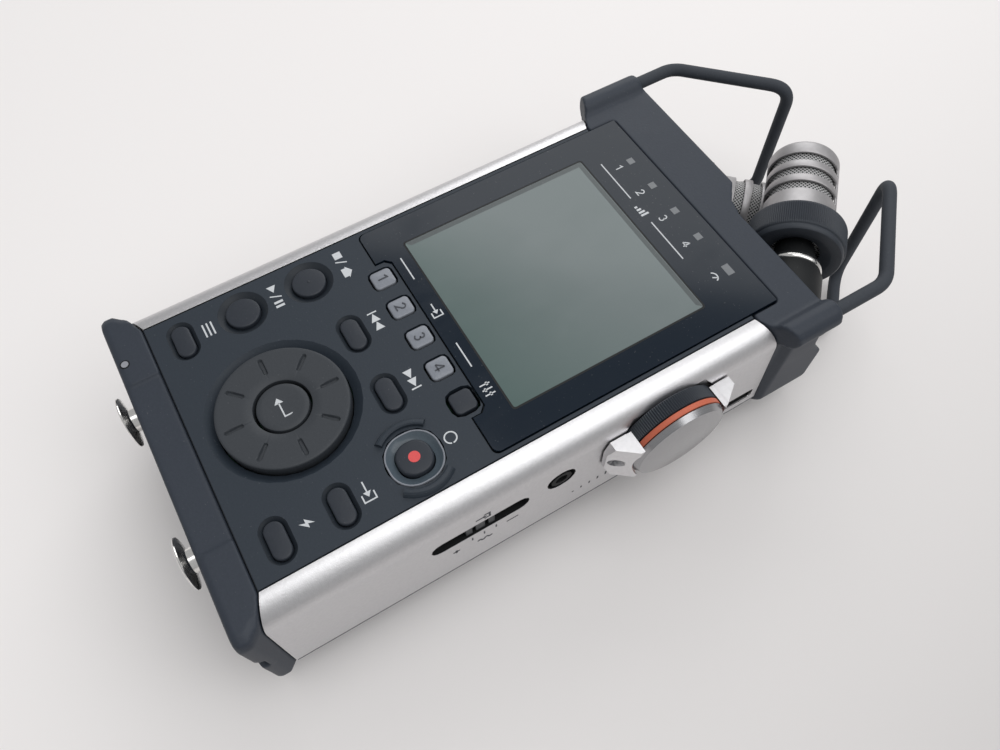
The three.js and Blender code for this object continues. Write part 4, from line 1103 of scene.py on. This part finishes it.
class RECORDER_OT_wheel(bpy.types.Operator):
    """Adds the jog wheel with its grooves, and the key in its middle"""

    bl_idname = "recorder.wheel"
    bl_label = "Jog wheel"
    bl_options = {"REGISTER", "UNDO"}

    MARKS = 8
    # The marks' inner and outer end, half their width, and the width of their sloped sides
    MARK_FROM, MARK_TO, MARK_HALF, MARK_SLOPE = 8.1, 10.9, 0.45, 0.16
    # The part of the face that holds the marks, and the radii of its rings of points
    FIELD_FROM, FIELD_TO = 7.4, 11.5
    FACE_ROWS = (11.4, 11.25, 11.1, 10.95, 10.0, 9.0, 8.0, 7.85, 7.7, 7.5)
    # Radius of the wheel's bore, and its count of points round
    BORE, COUNT = 5.5, 480

    def execute(self, context):
        depth = context.scene.recorder.groove / MM
        low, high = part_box("jog_wheel")
        foot, top = low.z / MM, high.z / MM
        radius = span("jog_wheel").x / 2
        bore, count = self.BORE, self.COUNT
        profile = [(bore, foot), (radius - 0.3, foot), (radius, foot + 0.4), (radius, top - 0.4)]
        profile += [(radius - 0.05, top - 0.18), (radius - 0.18, top - 0.05), (radius - 0.4, top)]
        profile.append((radius - 0.9, top - 0.02))
        profile += [(r, top - 0.02 - 0.02 * (radius - 0.9 - r)) for r in self.FACE_ROWS]
        profile += [(bore + 0.25, top - 0.16), (bore + 0.05, top - 0.3), (bore, top - 0.7)]
        loops = []
        for r, z in profile:
            loop = ring_loop(r, count, z)
            if self.FIELD_FROM < r < self.FIELD_TO and z > top - 0.3:
                beyond = max(0.0, self.MARK_FROM - r, r - self.MARK_TO)
                for i, point in enumerate(loop):
                    turn = (i / count * self.MARKS - 0.5) % 1.0 - 0.5
                    away = math.hypot(abs(turn) / self.MARKS * TURN * r, beyond)
                    point.z -= depth * min(1.0, max(0.0, (self.MARK_HALF - away) / self.MARK_SLOPE))
            loops.append(loop)
        at = over("jog_wheel")
        wheel = finish("wheel plastic")
        finished("jog_wheel_disc", hoop(loops), wheel, "jog_wheel", ("jog_wheel",), at, 40)
        high = top_of("enter_key")
        r = span("enter_key").x / 2
        # Steps inwards from the key's rim, and its height under the top
        face = [(0, -3), (0, -0.42), (0.12, -0.14), (0.42, 0), (1.2, 0), (2.2, -0.05), (3.4, -0.1)]
        face.append((r, -0.12))
        key = lathe([(0, high - 3)] + [(r - s, high + z) for s, z in face])
        finished("enter_key_cap", key, wheel, "enter_key", ("enter_key",), at, 40)
        return {"FINISHED"}


# Filled outlines and strokes of each plain sign, in millimetres about its middle
SIGNS = {
    "list": ([oblong(-1.6, y - 0.16, 1.6, y + 0.16) for y in (-0.85, 0, 0.85)], []),
    "play_pause": (
        [
            ((-2.9, -0.95), (-1.2, 0), (-2.9, 0.95)),
            oblong(1.1, -0.9, 1.65, 0.9),
            oblong(2.1, -0.9, 2.65, 0.9),
        ],
        [((-0.55, -1.1), (0.35, 1.1))],
    ),
    "stop_home": (
        [
            oblong(-3.6, -0.85, -1.9, 0.85),
            ((0.9, -0.9), (3.1, -0.9), (3.1, 0.05), (3.5, 0.05), (2.0, 1.15), (0.5, 0.05), (0.9, 0.05)),
        ],
        [((-1.3, -1.1), (-0.4, 1.1))],
    ),
    "back": (
        [
            oblong(-2.45, -1, -2.15, 1),
            ((-2.0, 0), (-0.1, -0.95), (-0.1, 0.95)),
            ((0, 0), (1.9, -0.95), (1.9, 0.95)),
        ],
        [],
    ),
    "ahead": (
        [
            oblong(2.15, -1, 2.45, 1),
            ((2.0, 0), (0.1, 0.95), (0.1, -0.95)),
            ((0, 0), (-1.9, 0.95), (-1.9, -0.95)),
        ],
        [],
    ),
    "ring": ([], [arc((0, 0), 1.15, 0, 345, 23)]),
    "into": (
        [((0.1, 0.75), (0.1, -0.75), (1.15, 0))],
        [((0.4, 1.15), (1.9, 1.15), (1.9, -1.15), (0.4, -1.15)), ((-2.0, 0), (0.1, 0))],
    ),
    "bolt": ([((0.45, 1.35), (-0.95, -0.2), (-0.1, -0.2), (-0.45, -1.35), (0.95, 0.2), (0.1, 0.2))], []),
    "sliders": (
        [oblong(x - 0.4, y - 0.2, x + 0.4, y + 0.2) for x, y in ((-1.2, 0.45), (0, -0.45), (1.2, 0.15))],
        [((x, -1.1), (x, 1.1)) for x in (-1.2, 0, 1.2)],
    ),
    "rise": ([oblong(-1.5 + 0.9 * i, -1, -0.95 + 0.9 * i, -0.3 + 0.45 * i) for i in range(4)], []),
    "gauge": ([], [arc((0, -0.8), 1.5, 20, 160, 12), ((0, -0.8), (0.75, 0.45))]),
    "return": ([((-1.9, -0.5), (-0.8, -1.25), (-0.8, 0.25))], [((1.8, 1.2), (1.8, -0.5), (-0.9, -0.5))]),
    "plus": ([], [((-0.8, 0), (0.8, 0)), ((0, -0.8), (0, 0.8))]),
    "wave": ([], [[(x / 8, 0.55 * math.sin(x / 8 * math.pi)) for x in range(-16, 17)]]),
    "dash": ([], [((-1.3, 0), (1.3, 0))]),
    "ticks": ([oblong(2 * i - 0.2, -0.25 - 0.12 * i, 2 * i + 0.2, 0.25 + 0.12 * i) for i in range(6)], []),
}
# Strokes of each digit, at a height of 1 about its middle
DIGITS = {
    "1": [((-0.28, 0.3), (0.06, 0.5), (0.06, -0.5))],
    "2": [arc((0, 0.21), 0.29, 165, -30, 9) + [(-0.3, -0.5), (0.33, -0.5)]],
    "3": [arc((0, 0.24), 0.26, 150, -75, 9), arc((0, -0.21), 0.29, 80, -150, 10)],
    "4": [((0.14, -0.5), (0.14, 0.5)), ((0.14, 0.5), (-0.4, -0.2)), ((-0.4, -0.2), (0.38, -0.2))],
}
# Where each sign stands on the panel, the lens and the right side, and its scale
PANEL_SIGNS = (
    ("list", -23.1, 11.1, 1.0),
    ("play_pause", -23.4, 25.4, 1.0),
    ("stop_home", -23.6, 40.2, 1.0),
    ("back", -7.8, 40.1, 1.0),
    ("ahead", 6.9, 40.1, 1.0),
    ("ring", 21.4, 40.6, 1.0),
    ("into", 22.9, 23.0, 1.0),
    ("bolt", 22.9, 11.6, 1.0),
)
LENS_SIGNS = (
    ("into", -4.1, 51.1, 0.85),
    ("sliders", 16.4, 51.2, 0.95),
    ("rise", -3.9, 100.3, 0.9),
    ("gauge", 17.7, 103.0, 0.75),
)
SIDE_SIGNS = (
    ("into", 39.2, 31.2, 0.75),
    ("plus", 33.0, 20.6, 0.9),
    ("wave", 39.2, 19.4, 0.75),
    ("dash", 45.4, 21.6, 1.0),
    ("ticks", 59.6, 16.9, 1.0),
)
# Start, end and height of the lens's long lines
LENS_LINES = ((-18.9, -12.8, 51.05), (4.6, 10.7, 51.05), (-18.9, -7.6, 100.2), (-0.1, 10.9, 100.2))


class RECORDER_OT_marks(bpy.types.Operator):
    """Adds the printed digits, lines and plain signs, the small lamps and the record key's dot"""

    bl_idname = "recorder.marks"
    bl_label = "Printed marks"
    bl_options = {"REGISTER", "UNDO"}

    # Middle of each small lamp, half its width, and its lower and upper edge
    LAMPS, LAMP_HALF, LAMP_LOW, LAMP_HIGH = (-16.3, -8.2, -0.1, 7.9), 0.8, 105.5, 107.0
    WIDE_LAMP = oblong(16.4, 105.5, 19.0, 107.1)
    # Height of the digits under the lamps, how far aside they stand, and their middle
    LAMP_DIGIT, DIGIT_ASIDE, DIGIT_Y = 1.7, 0.3, 102.95
    # Height of the digits on their keys, and radius of the record key's dot
    KEY_DIGIT, DOT = 2.0, 1.1
    # How far the domed faces of the numbered, record and enter keys lie under their nodes' tops
    TRACK_FACE, RECORD_FACE, ENTER_FACE = 0.01, 0.04, 0.1
    # Width of the digits' strokes, and of those on the side, as shares of a line's width
    DIGIT_LINE, SIDE_LINE = 0.9, 1.6
    # Places, half width, lower and upper end of the strokes under the slide switch
    STROKES, STROKE_HALF, STROKE_LOW, STROKE_HIGH = (36.6, 39.2, 41.8), 0.16, 22.0, 23.3

    def block(self, points):
        return prism(points, PRINT_FOOT, self.high)

    def strokes(self, lines, scale, width):
        scaled = ([(x * scale, y * scale) for x, y in points] for points in lines)
        return [ribbon(points, width, PRINT_FOOT, self.high) for points in scaled]

    def sign(self, name, x=0.0, y=0.0, scale=1.0):
        """One sign as flat closed shapes about a place."""
        filled, lines = SIGNS[name]
        shapes = [self.block([(px * scale, py * scale) for px, py in points]) for points in filled]
        return shifted(merge(*shapes, *self.strokes(lines, scale, self.line)), x, y)

    def digit(self, name, height):
        return merge(*self.strokes(DIGITS[name], height, self.line * self.DIGIT_LINE))

    def execute(self, context):
        values = context.scene.recorder
        self.high = values.print_height / MM
        self.line = values.line / MM
        white, dark = finish("white print"), finish("dark print")
        panel = merge(*[self.sign(*row) for row in PANEL_SIGNS])
        finished("panel_signs", panel, white, at=Matrix.Translation((0, 0, FRONT)))
        half = self.line / 2
        glass = [self.block(oblong(x0, y - half, x1, y + half)) for x0, x1, y in LENS_LINES]
        glass += [self.sign(*row) for row in LENS_SIGNS]
        lamps = []
        half = self.LAMP_HALF
        for name, x in zip(DIGITS, self.LAMPS):
            glass.append(shifted(self.digit(name, self.LAMP_DIGIT), x + self.DIGIT_ASIDE, self.DIGIT_Y))
            lamps.append(self.block(oblong(x - half, self.LAMP_LOW, x + half, self.LAMP_HIGH)))
        lamps.append(self.block(self.WIDE_LAMP))
        at = Matrix.Translation((0, 0, top_of("display_lens")))
        finished("lens_signs", merge(*glass), white, at=at)
        finished("lens_lamps", merge(*lamps), finish("lamp window"), at=at)
        for name, node in zip(DIGITS, TRACK_KEYS):
            at = over(node, top_of(node) - self.TRACK_FACE)
            finished(node + "_digit", self.digit(name, self.KEY_DIGIT), dark, node, at=at)
        dot = lathe(((0, PRINT_FOOT), (self.DOT, PRINT_FOOT), (self.DOT, self.high), (0, self.high)), 48)
        at = over("record_key", top_of("record_key") - self.RECORD_FACE)
        finished("record_key_dot", dot, finish("red print"), "record_key", at=at)
        at = over("enter_key", top_of("enter_key") - self.ENTER_FACE)
        finished("enter_key_sign", self.sign("return", 0, 0.2, 1.15), white, "enter_key", at=at)
        # The side is seen at a steep slant, so its strokes are wider
        self.line *= self.SIDE_LINE
        half, low, high = self.STROKE_HALF, self.STROKE_LOW, self.STROKE_HIGH
        side = [self.block(oblong(y - half, low, y + half, high)) for y in self.STROKES]
        side += [self.sign(*row) for row in SIDE_SIGNS]
        finished("side_signs", merge(*side), dark, at=Matrix.Translation((SIDE, 0, 0)) @ SIDEWAYS)
        return {"FINISHED"}


class RECORDER_OT_dial(bpy.types.Operator):
    """Adds the level dial: a serrated ring, a coloured band and a turned knob"""

    bl_idname = "recorder.dial"
    bl_label = "Level dial"
    bl_options = {"REGISTER", "UNDO"}

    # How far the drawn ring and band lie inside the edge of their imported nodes
    RING_INSET, BAND_INSET = 0.65, 0.75
    # Width of the ring, radii of its bore and hub, and the depth of its ridges and at their ends
    RING_WIDTH, BORE, HUB, RIDGE, RIDGE_END = 3.0, 2.1, 3.4, 0.26, 0.16
    # Inner radius of the band, and radii of the knob's shaft and of its neck under the band
    BAND_BORE, SHAFT, NECK = 8.3, 1.8, 8.0
    # Points round the band and the knob
    COUNT = 160

    def execute(self, context):
        at = middle("level_ring")
        out = side_frame(0, at.y, at.z)
        foot, top = x_range("level_ring")
        inner = top - self.RING_WIDTH
        radius = span("level_ring").z / 2 - self.RING_INSET
        bore, hub = self.BORE, self.HUB
        rows = [
            (bore, inner, 0.0),
            (radius - 0.35, inner, 0.0),
            (radius - 0.1, inner + 0.15, self.RIDGE_END),
            (radius, inner + 0.3, self.RIDGE),
            (radius, top - 0.2, self.RIDGE),
            (radius - 0.1, top - 0.06, self.RIDGE_END),
            (radius - 0.35, top, 0.0),
            (bore, top, 0.0),
        ]
        ring = ridged_lathe(rows, context.scene.recorder.dial_ridges)
        merge(ring, lathe(((bore, foot), (hub, foot), (hub, inner + 0.2), (bore, inner + 0.2)), 48))
        grip = finish("grip plastic")
        finished("level_ring_grip", ring, grip, "level_ring", ("level_ring",), out, 30)
        low, high = x_range("level_band")
        r = span("level_band").z / 2 - self.BAND_INSET
        rows = [(self.BAND_BORE, low), (r - 0.1, low), (r, low + 0.1)]
        rows += [(r, high - 0.1), (r - 0.1, high), (self.BAND_BORE, high)]
        band = lathe(rows, self.COUNT)
        orange = finish("orange band")
        finished("level_band_ring", band, orange, "level_knob", ("level_band",), out, 30)
        end, cap = x_range("level_knob")
        foot = high + 0.15
        shaft, neck = self.SHAFT, self.NECK
        profile = [(0, end), (shaft, end), (shaft, low), (neck, low), (neck, foot), (r - 0.2, foot)]
        profile += [(r - 0.1, foot + 0.1), (r - 0.75, cap - 0.2), (r - 0.85, cap - 0.04)]
        profile += [(r - 1.0, cap), (0, cap)]
        metal = turned_metal("turned knob", look().knob_colour, 0.24, (0, at.y, at.z), (1, 0, 0), 0.25)
        knob = lathe(profile, self.COUNT)
        finished("level_knob_cap", knob, metal, "level_knob", ("level_knob",), out, 20)
        return {"FINISHED"}


class RECORDER_OT_microphones(bpy.types.Operator):
    """Adds the two slotted microphones over their wire cloth, with knurled rings and collars"""

    bl_idname = "recorder.microphones"
    bl_label = "Microphones"
    bl_options = {"REGISTER", "UNDO"}

    # Radius, height and ridge depth round the section of the knurled ring
    KNURL = (
        (8.1, 0.0, 0.0),
        (10.0, 0.0, 0.0),
        (10.3, -0.15, 0.0),
        (10.45, -0.45, 0.1),
        (10.5, -0.7, 0.2),
        (10.5, -5.3, 0.2),
        (10.4, -5.7, 0.1),
        (10.2, -5.9, 0.0),
        (10.0, -6.0, 0.0),
        (10.0, -6.3, 0.0),
        (9.9, -6.9, 0.0),
        (9.6, -7.2, 0.0),
        (7.6, -7.2, 0.0),
        (7.2, -7.0, 0.0),
        (5.2, -5.9, 0.0),
        (5.2, -5.6, 0.0),
        (8.1, -5.5, 0.0),
    )
    STEM = ((0, -19.5), (6.2, -19.5), (6.2, -13), (5.7, -11.8))
    STEM += ((5.7, -9.9), (4.9, -9.7), (4.1, -4.8), (0, -4.8))
    COLLAR = ((5.68, -11.5), (5.85, -11.35), (5.95, -11.0), (5.95, -10.6), (5.85, -10.2), (5.68, -10.1))
    # The slotted wall: radius, ends, width of its two posts and how far they are turned
    WALL, TAIL, NOSE, POST, POST_TURN = 7.8, -4.5, 20.2, 2.1, 1.2
    # Upper edge and width of each row of slots, and the radius in the slots' corners
    SLOTS = [(16.4 - 4.15 * i, 2.25) for i in range(3)]
    SLOT_CORNER = 0.45
    # Radius and ends of the wire cloth, the wall's thickness, and the rim's distance from its node's middle
    CLOTH, THICKNESS, RIM = (7.0, -3.9, 19.1), 0.5, -7.4

    def barrel(self):
        """The slotted wall as one skin, with a small radius in each corner of its slots."""
        radius, nose, small = self.WALL, self.NOSE, self.SLOT_CORNER
        reach = math.asin(self.POST / 2 / radius)
        corner = small / radius
        posts = [share * math.pi + self.POST_TURN for share in (0.5, 1.5)]
        edges = []
        for post in posts:
            edges += [post - reach - corner, post - reach, post + reach, post + reach + corner]
        angles = [a % TURN for a in edges]
        count = 160
        for k in range(count):
            a = TURN * k / count
            if min(abs((a - b + math.pi) % TURN - math.pi) for b in edges) > 0.02:
                angles.append(a)
        angles.sort()
        heights = [self.TAIL, self.TAIL + 0.6]
        for top, width in sorted(self.SLOTS):
            heights += [top - width, top - width + small, top - small, top]
        heights += [nose - 1.5, nose - 0.9]
        bm = bmesh.new()
        around = [(radius * math.cos(a), radius * math.sin(a)) for a in angles]
        grid = [[bm.verts.new((x, y, z)) for x, y in around] for z in heights]
        total = len(angles)

        def open_at(j):
            half = ((angles[(j + 1) % total] - angles[j]) % TURN) / 2
            return all(abs((angles[j] + half - c + math.pi) % TURN - math.pi) > reach for c in posts)

        for i in range(len(heights) - 1):
            level = (heights[i] + heights[i + 1]) / 2
            slot = next(((t, w) for t, w in self.SLOTS if t - w < level < t), None)
            for j in range(total):
                k = (j + 1) % total
                quad = [grid[i][j], grid[i][k], grid[i + 1][k], grid[i + 1][j]]
                if not slot or not open_at(j):
                    bm.faces.new(quad)
                    continue
                low_row = level < slot[0] - slot[1] + small
                if low_row or level > slot[0] - small:
                    if not open_at(j - 1):
                        bm.faces.new([quad[0], quad[1], quad[3]] if low_row else [quad[0], quad[2], quad[3]])
                    elif not open_at(k):
                        bm.faces.new([quad[0], quad[1], quad[2]] if low_row else [quad[1], quad[2], quad[3]])
        last = grid[-1]
        for r, z in ((radius - 0.25, nose - 0.4), (radius - 0.9, nose)):
            ring = [bm.verts.new((r * math.cos(a), r * math.sin(a), z)) for a in angles]
            for j in range(total):
                k = (j + 1) % total
                bm.faces.new((last[j], last[k], ring[k], ring[j]))
            last = ring
        bm.faces.new(last)
        bmesh.ops.recalc_face_normals(bm, faces=bm.faces)
        return bm

    def cloth(self, radius, low, high):
        """A cylinder with its surface laid out in millimetres, for the weave."""
        bm = bmesh.new()
        layer = bm.loops.layers.uv.new("UVMap")
        count = 96
        foot, head = ([bm.verts.new(p) for p in ring_loop(radius, count, z)] for z in (low, high))
        for i in range(count):
            j = (i + 1) % count
            face = bm.faces.new((foot[i], foot[j], head[j], head[i]))
            start, end = (TURN * radius * k / count for k in (i, i + 1))
            for loop, uv in zip(face.loops, ((start, low), (end, low), (end, high), (start, high))):
                loop[layer].uv = uv
        for row in (list(reversed(foot)), head):
            for loop in bm.faces.new(row).loops:
                loop[layer].uv = (loop.vert.co.x, loop.vert.co.y)
        return bm

    def execute(self, context):
        ridges = context.scene.recorder.ring_ridges
        names = ("microphone steel", "grip plastic", "dark rubber", "bright plate")
        steel, grip, rubber, bright = map(finish, names)
        weave = built("wire cloth", wire_cloth)
        for name, side in SIDES:
            name += "_mic_"
            turn = Matrix.Rotation(side * math.pi / 4, 4, "Z") @ Matrix.Rotation(-math.pi / 2, 4, "X")
            rim = Matrix.Translation(middle(name + "housing")) @ turn @ Matrix.Translation((0, 0, self.RIM))
            replaced = (name + "housing",)
            barrel = finished(name + "barrel", self.barrel(), steel, BODY, replaced, rim, 50)
            wall = barrel.modifiers.new("wall", "SOLIDIFY")
            wall.thickness = self.THICKNESS * MM
            wall.offset = -1
            soften(barrel, 0.12, 50)
            cloth = self.cloth(*self.CLOTH)
            finished(name + "cloth", cloth, weave, BODY, (name + "capsule",), rim)
            ring = ridged_lathe(self.KNURL, ridges)
            finished(name + "grip", ring, grip, BODY, (name + "ring",), rim, 40)
            post = lathe(self.STEM, 64)
            finished(name + "post", post, rubber, BODY, (name + "stem",), rim)
            finished(name + "collar", lathe(self.COLLAR), bright, BODY, (), rim)
        return {"FINISHED"}


class RECORDER_OT_guards(bpy.types.Operator):
    """Adds the two bent wires round the microphones"""

    bl_idname = "recorder.guards"
    bl_label = "Wire guards"
    bl_options = {"REGISTER", "UNDO"}

    RADIUS = 1.45
    # Reach of the curve at each bend, and the share of a straight run that it may take
    BENDS, LONGEST, STEPS = (2.8, 5.0, 5.0, 4.4), 0.45, 14
    # Distance of the rear ends from the recorder's middle
    BACK = 27

    def bent(self, corners):
        """Straight runs with a curve at each corner, as points."""
        points = [corners[0]]
        for before, here, after, bend in zip(corners, corners[1:], corners[2:], self.BENDS):
            reach = min(bend, (here - before).length * self.LONGEST, (after - here).length * self.LONGEST)
            start = here + (before - here).normalized() * reach
            end = here + (after - here).normalized() * reach
            for k in range(self.STEPS + 1):
                t = k / self.STEPS
                points.append(start * (1 - t) ** 2 + here * 2 * t * (1 - t) + end * t * t)
        points.append(corners[-1])
        return points

    def execute(self, context):
        for name, side in SIDES:
            node = name + "_wire_guard"
            inner, outer = x_range(node)[::side]
            inner, outer = inner + side * self.RADIUS, outer - side * self.RADIUS
            root, end = y_range(node)
            end -= self.RADIUS
            top, foot = top_of(node) - self.RADIUS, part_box(node)[0].z / MM + self.RADIUS
            back = side * self.BACK
            corners = (
                (outer, root, top),
                (outer, end - abs(outer - inner), top),
                (inner, end, top),
                (inner, end, foot),
                (back, end - abs(back - inner), foot),
                (back, root, foot),
            )
            wire = tube(self.bent([Vector(corner) for corner in corners]), self.RADIUS, 28)
            finished(node + "_rod", wire, finish("wire coating"), BODY, (node,), sharp=60)
        return {"FINISHED"}


class RECORDER_OT_sockets(bpy.types.Operator):
    """Gives the input sockets their finish, and adds the flat latch buttons"""

    bl_idname = "recorder.sockets"
    bl_label = "Sockets and latches"
    bl_options = {"REGISTER", "UNDO"}

    # Radius and depth of a latch button, from its face to the end of its stem
    DISC = ((0, 0.2), (3.4, 0.2), (4.3, 0.02), (4.8, 0.0), (5.1, 0.16), (5.2, 0.34), (5.1, 0.5), (4.6, 0.56))
    STEM = ((3.6, 0.72), (2.6, 0.95), (2.4, 1.2), (2.4, 10.6), (0, 10.6))

    def execute(self, context):
        for name, _ in SIDES:
            dress(name + "_combo_jack", finish("dark rubber"), 0.15)
            node = name + "_latch_button"
            at = middle(node)
            out = Matrix.Translation((at.x, y_range(node)[0], at.z)) @ Matrix.Rotation(-math.pi / 2, 4, "X")
            disc = lathe(self.DISC + self.STEM)
            plate = finish("bright plate")
            finished(name + "_latch_disc", disc, plate, node, (node,), out, 30)
        return {"FINISHED"}


class RECORDER_OT_stage(bpy.types.Operator):
    """Adds the pale floor, the lights and the camera"""

    bl_idname = "recorder.stage"
    bl_label = "Stage"
    bl_options = {"REGISTER", "UNDO"}

    # Half the floor's width, the slant of the painted shade that darkens the floor towards the near right,
    # and where that shade starts and ends, in metres
    FLOOR_REACH, FADE_SLANT, FADE_FROM, FADE_TO = 3.0, 0.3, -0.12, 0.17
    CAMERA_AT = (79.37, 19.39, 172.89)
    # Right, up and backward directions of the camera
    CAMERA_AXES = (
        (0.5062241, 0.86225692, -0.0158168),
        (-0.75232705, 0.45050248, 0.48067819),
        (0.4215936, -0.23143147, 0.87675442),
    )

    def floor(self, values):
        def surface(tree, coords):
            split = tree.add("SeparateXYZ", {0: coords}).outputs
            # Painted shade: the floor's colour darkens towards the near right, standing in for the light's
            # falloff there
            across = tree.plus(split[0], tree.times(split[1], self.FADE_SLANT))
            way = tree.math("POWER", tree.remap(across, self.FADE_FROM, self.FADE_TO), 3.0)
            left = tree.math("SUBTRACT", 1.0, tree.times(way, values.floor_painted_shade))
            colour = tree.tint(opaque(values.floor_colour), left)
            return {"Base Color": colour, "Roughness": 0.75, "Specular IOR Level": 0.2}

        mesh = bpy.data.meshes.new("floor")
        bm = bmesh.new()
        bmesh.ops.create_grid(bm, x_segments=1, y_segments=1, size=self.FLOOR_REACH)
        bm.to_mesh(mesh)
        bm.free()
        mesh.materials.append(built("floor", surface))
        return new_object("floor", mesh)

    def lamp(self, name, where, size, width, watts):
        """A rectangular light that faces the recorder."""
        light = bpy.data.lights.new(name, "AREA")
        light.energy = watts
        light.shape = "RECTANGLE"
        light.size = size
        light.size_y = width
        lamp = new_object(name, light)
        lamp.location = where
        lamp.rotation_euler = (-Vector(where)).to_track_quat("-Z", "Y").to_euler()
        return lamp

    def execute(self, context):
        values = context.scene.recorder_stage
        scene = context.scene
        scene.view_settings.view_transform = "Standard"
        world = bpy.data.worlds.new("room")
        world.use_nodes = True
        sky = world.node_tree.nodes["Background"].inputs
        sky["Color"].default_value = (0.985, 0.99, 1.0, 1)
        sky["Strength"].default_value = values.room
        scene.world = world
        floor = self.floor(values)
        lamps = (
            self.lamp("window", (-0.92, 0.74, 0.78), 1.1, 1.1, values.window_power),
            self.lamp("ceiling", (0.32, 0.25, 1.0), 0.8, 1.5, values.ceiling_power),
        )
        eye = bpy.data.cameras.new("camera")
        eye.lens = values.lens / MM
        eye.sensor_width = 36
        eye.clip_start = 0.01
        camera = new_object("camera", eye)
        turn = Matrix(self.CAMERA_AXES).transposed().to_4x4()
        camera.matrix_world = Matrix.Translation(place(*self.CAMERA_AT)) @ turn
        scene.camera = camera
        return {"FINISHED"}


OPERATORS = (
    RECORDER_OT_body,
    RECORDER_OT_display,
    RECORDER_OT_keys,
    RECORDER_OT_wheel,
    RECORDER_OT_marks,
    RECORDER_OT_dial,
    RECORDER_OT_microphones,
    RECORDER_OT_guards,
    RECORDER_OT_sockets,
    RECORDER_OT_stage,
)


class RECORDER_PT_pieces(bpy.types.Panel):
    """Lists the recorder's pieces and its stage"""

    bl_idname = "RECORDER_PT_pieces"
    bl_label = "Recorder"
    bl_space_type = "VIEW_3D"
    bl_region_type = "UI"
    bl_category = "Recorder"

    def draw(self, context):
        for operator in OPERATORS:
            self.layout.operator(operator.bl_idname)
        for values in (context.scene.recorder, context.scene.recorder_stage):
            for name in type(values).__annotations__:
                self.layout.prop(values, name)


CLASSES = (RecorderSettings, StageSettings) + OPERATORS + (RECORDER_PT_pieces,)


def register():
    for kind in CLASSES:
        bpy.utils.register_class(kind)
    bpy.types.Scene.recorder = bpy.props.PointerProperty(type=RecorderSettings)
    bpy.types.Scene.recorder_stage = bpy.props.PointerProperty(type=StageSettings)


def unregister():
    del bpy.types.Scene.recorder_stage
    del bpy.types.Scene.recorder
    for kind in reversed(CLASSES):
        bpy.utils.unregister_class(kind)


def main():
    register()
    bpy.ops.recorder.body()
    bpy.ops.recorder.display()
    bpy.ops.recorder.keys()
    bpy.ops.recorder.wheel()
    bpy.ops.recorder.marks()
    bpy.ops.recorder.dial()
    bpy.ops.recorder.microphones()
    bpy.ops.recorder.guards()
    bpy.ops.recorder.sockets()
    bpy.ops.recorder.stage()


if __name__ == "__main__":
    main()
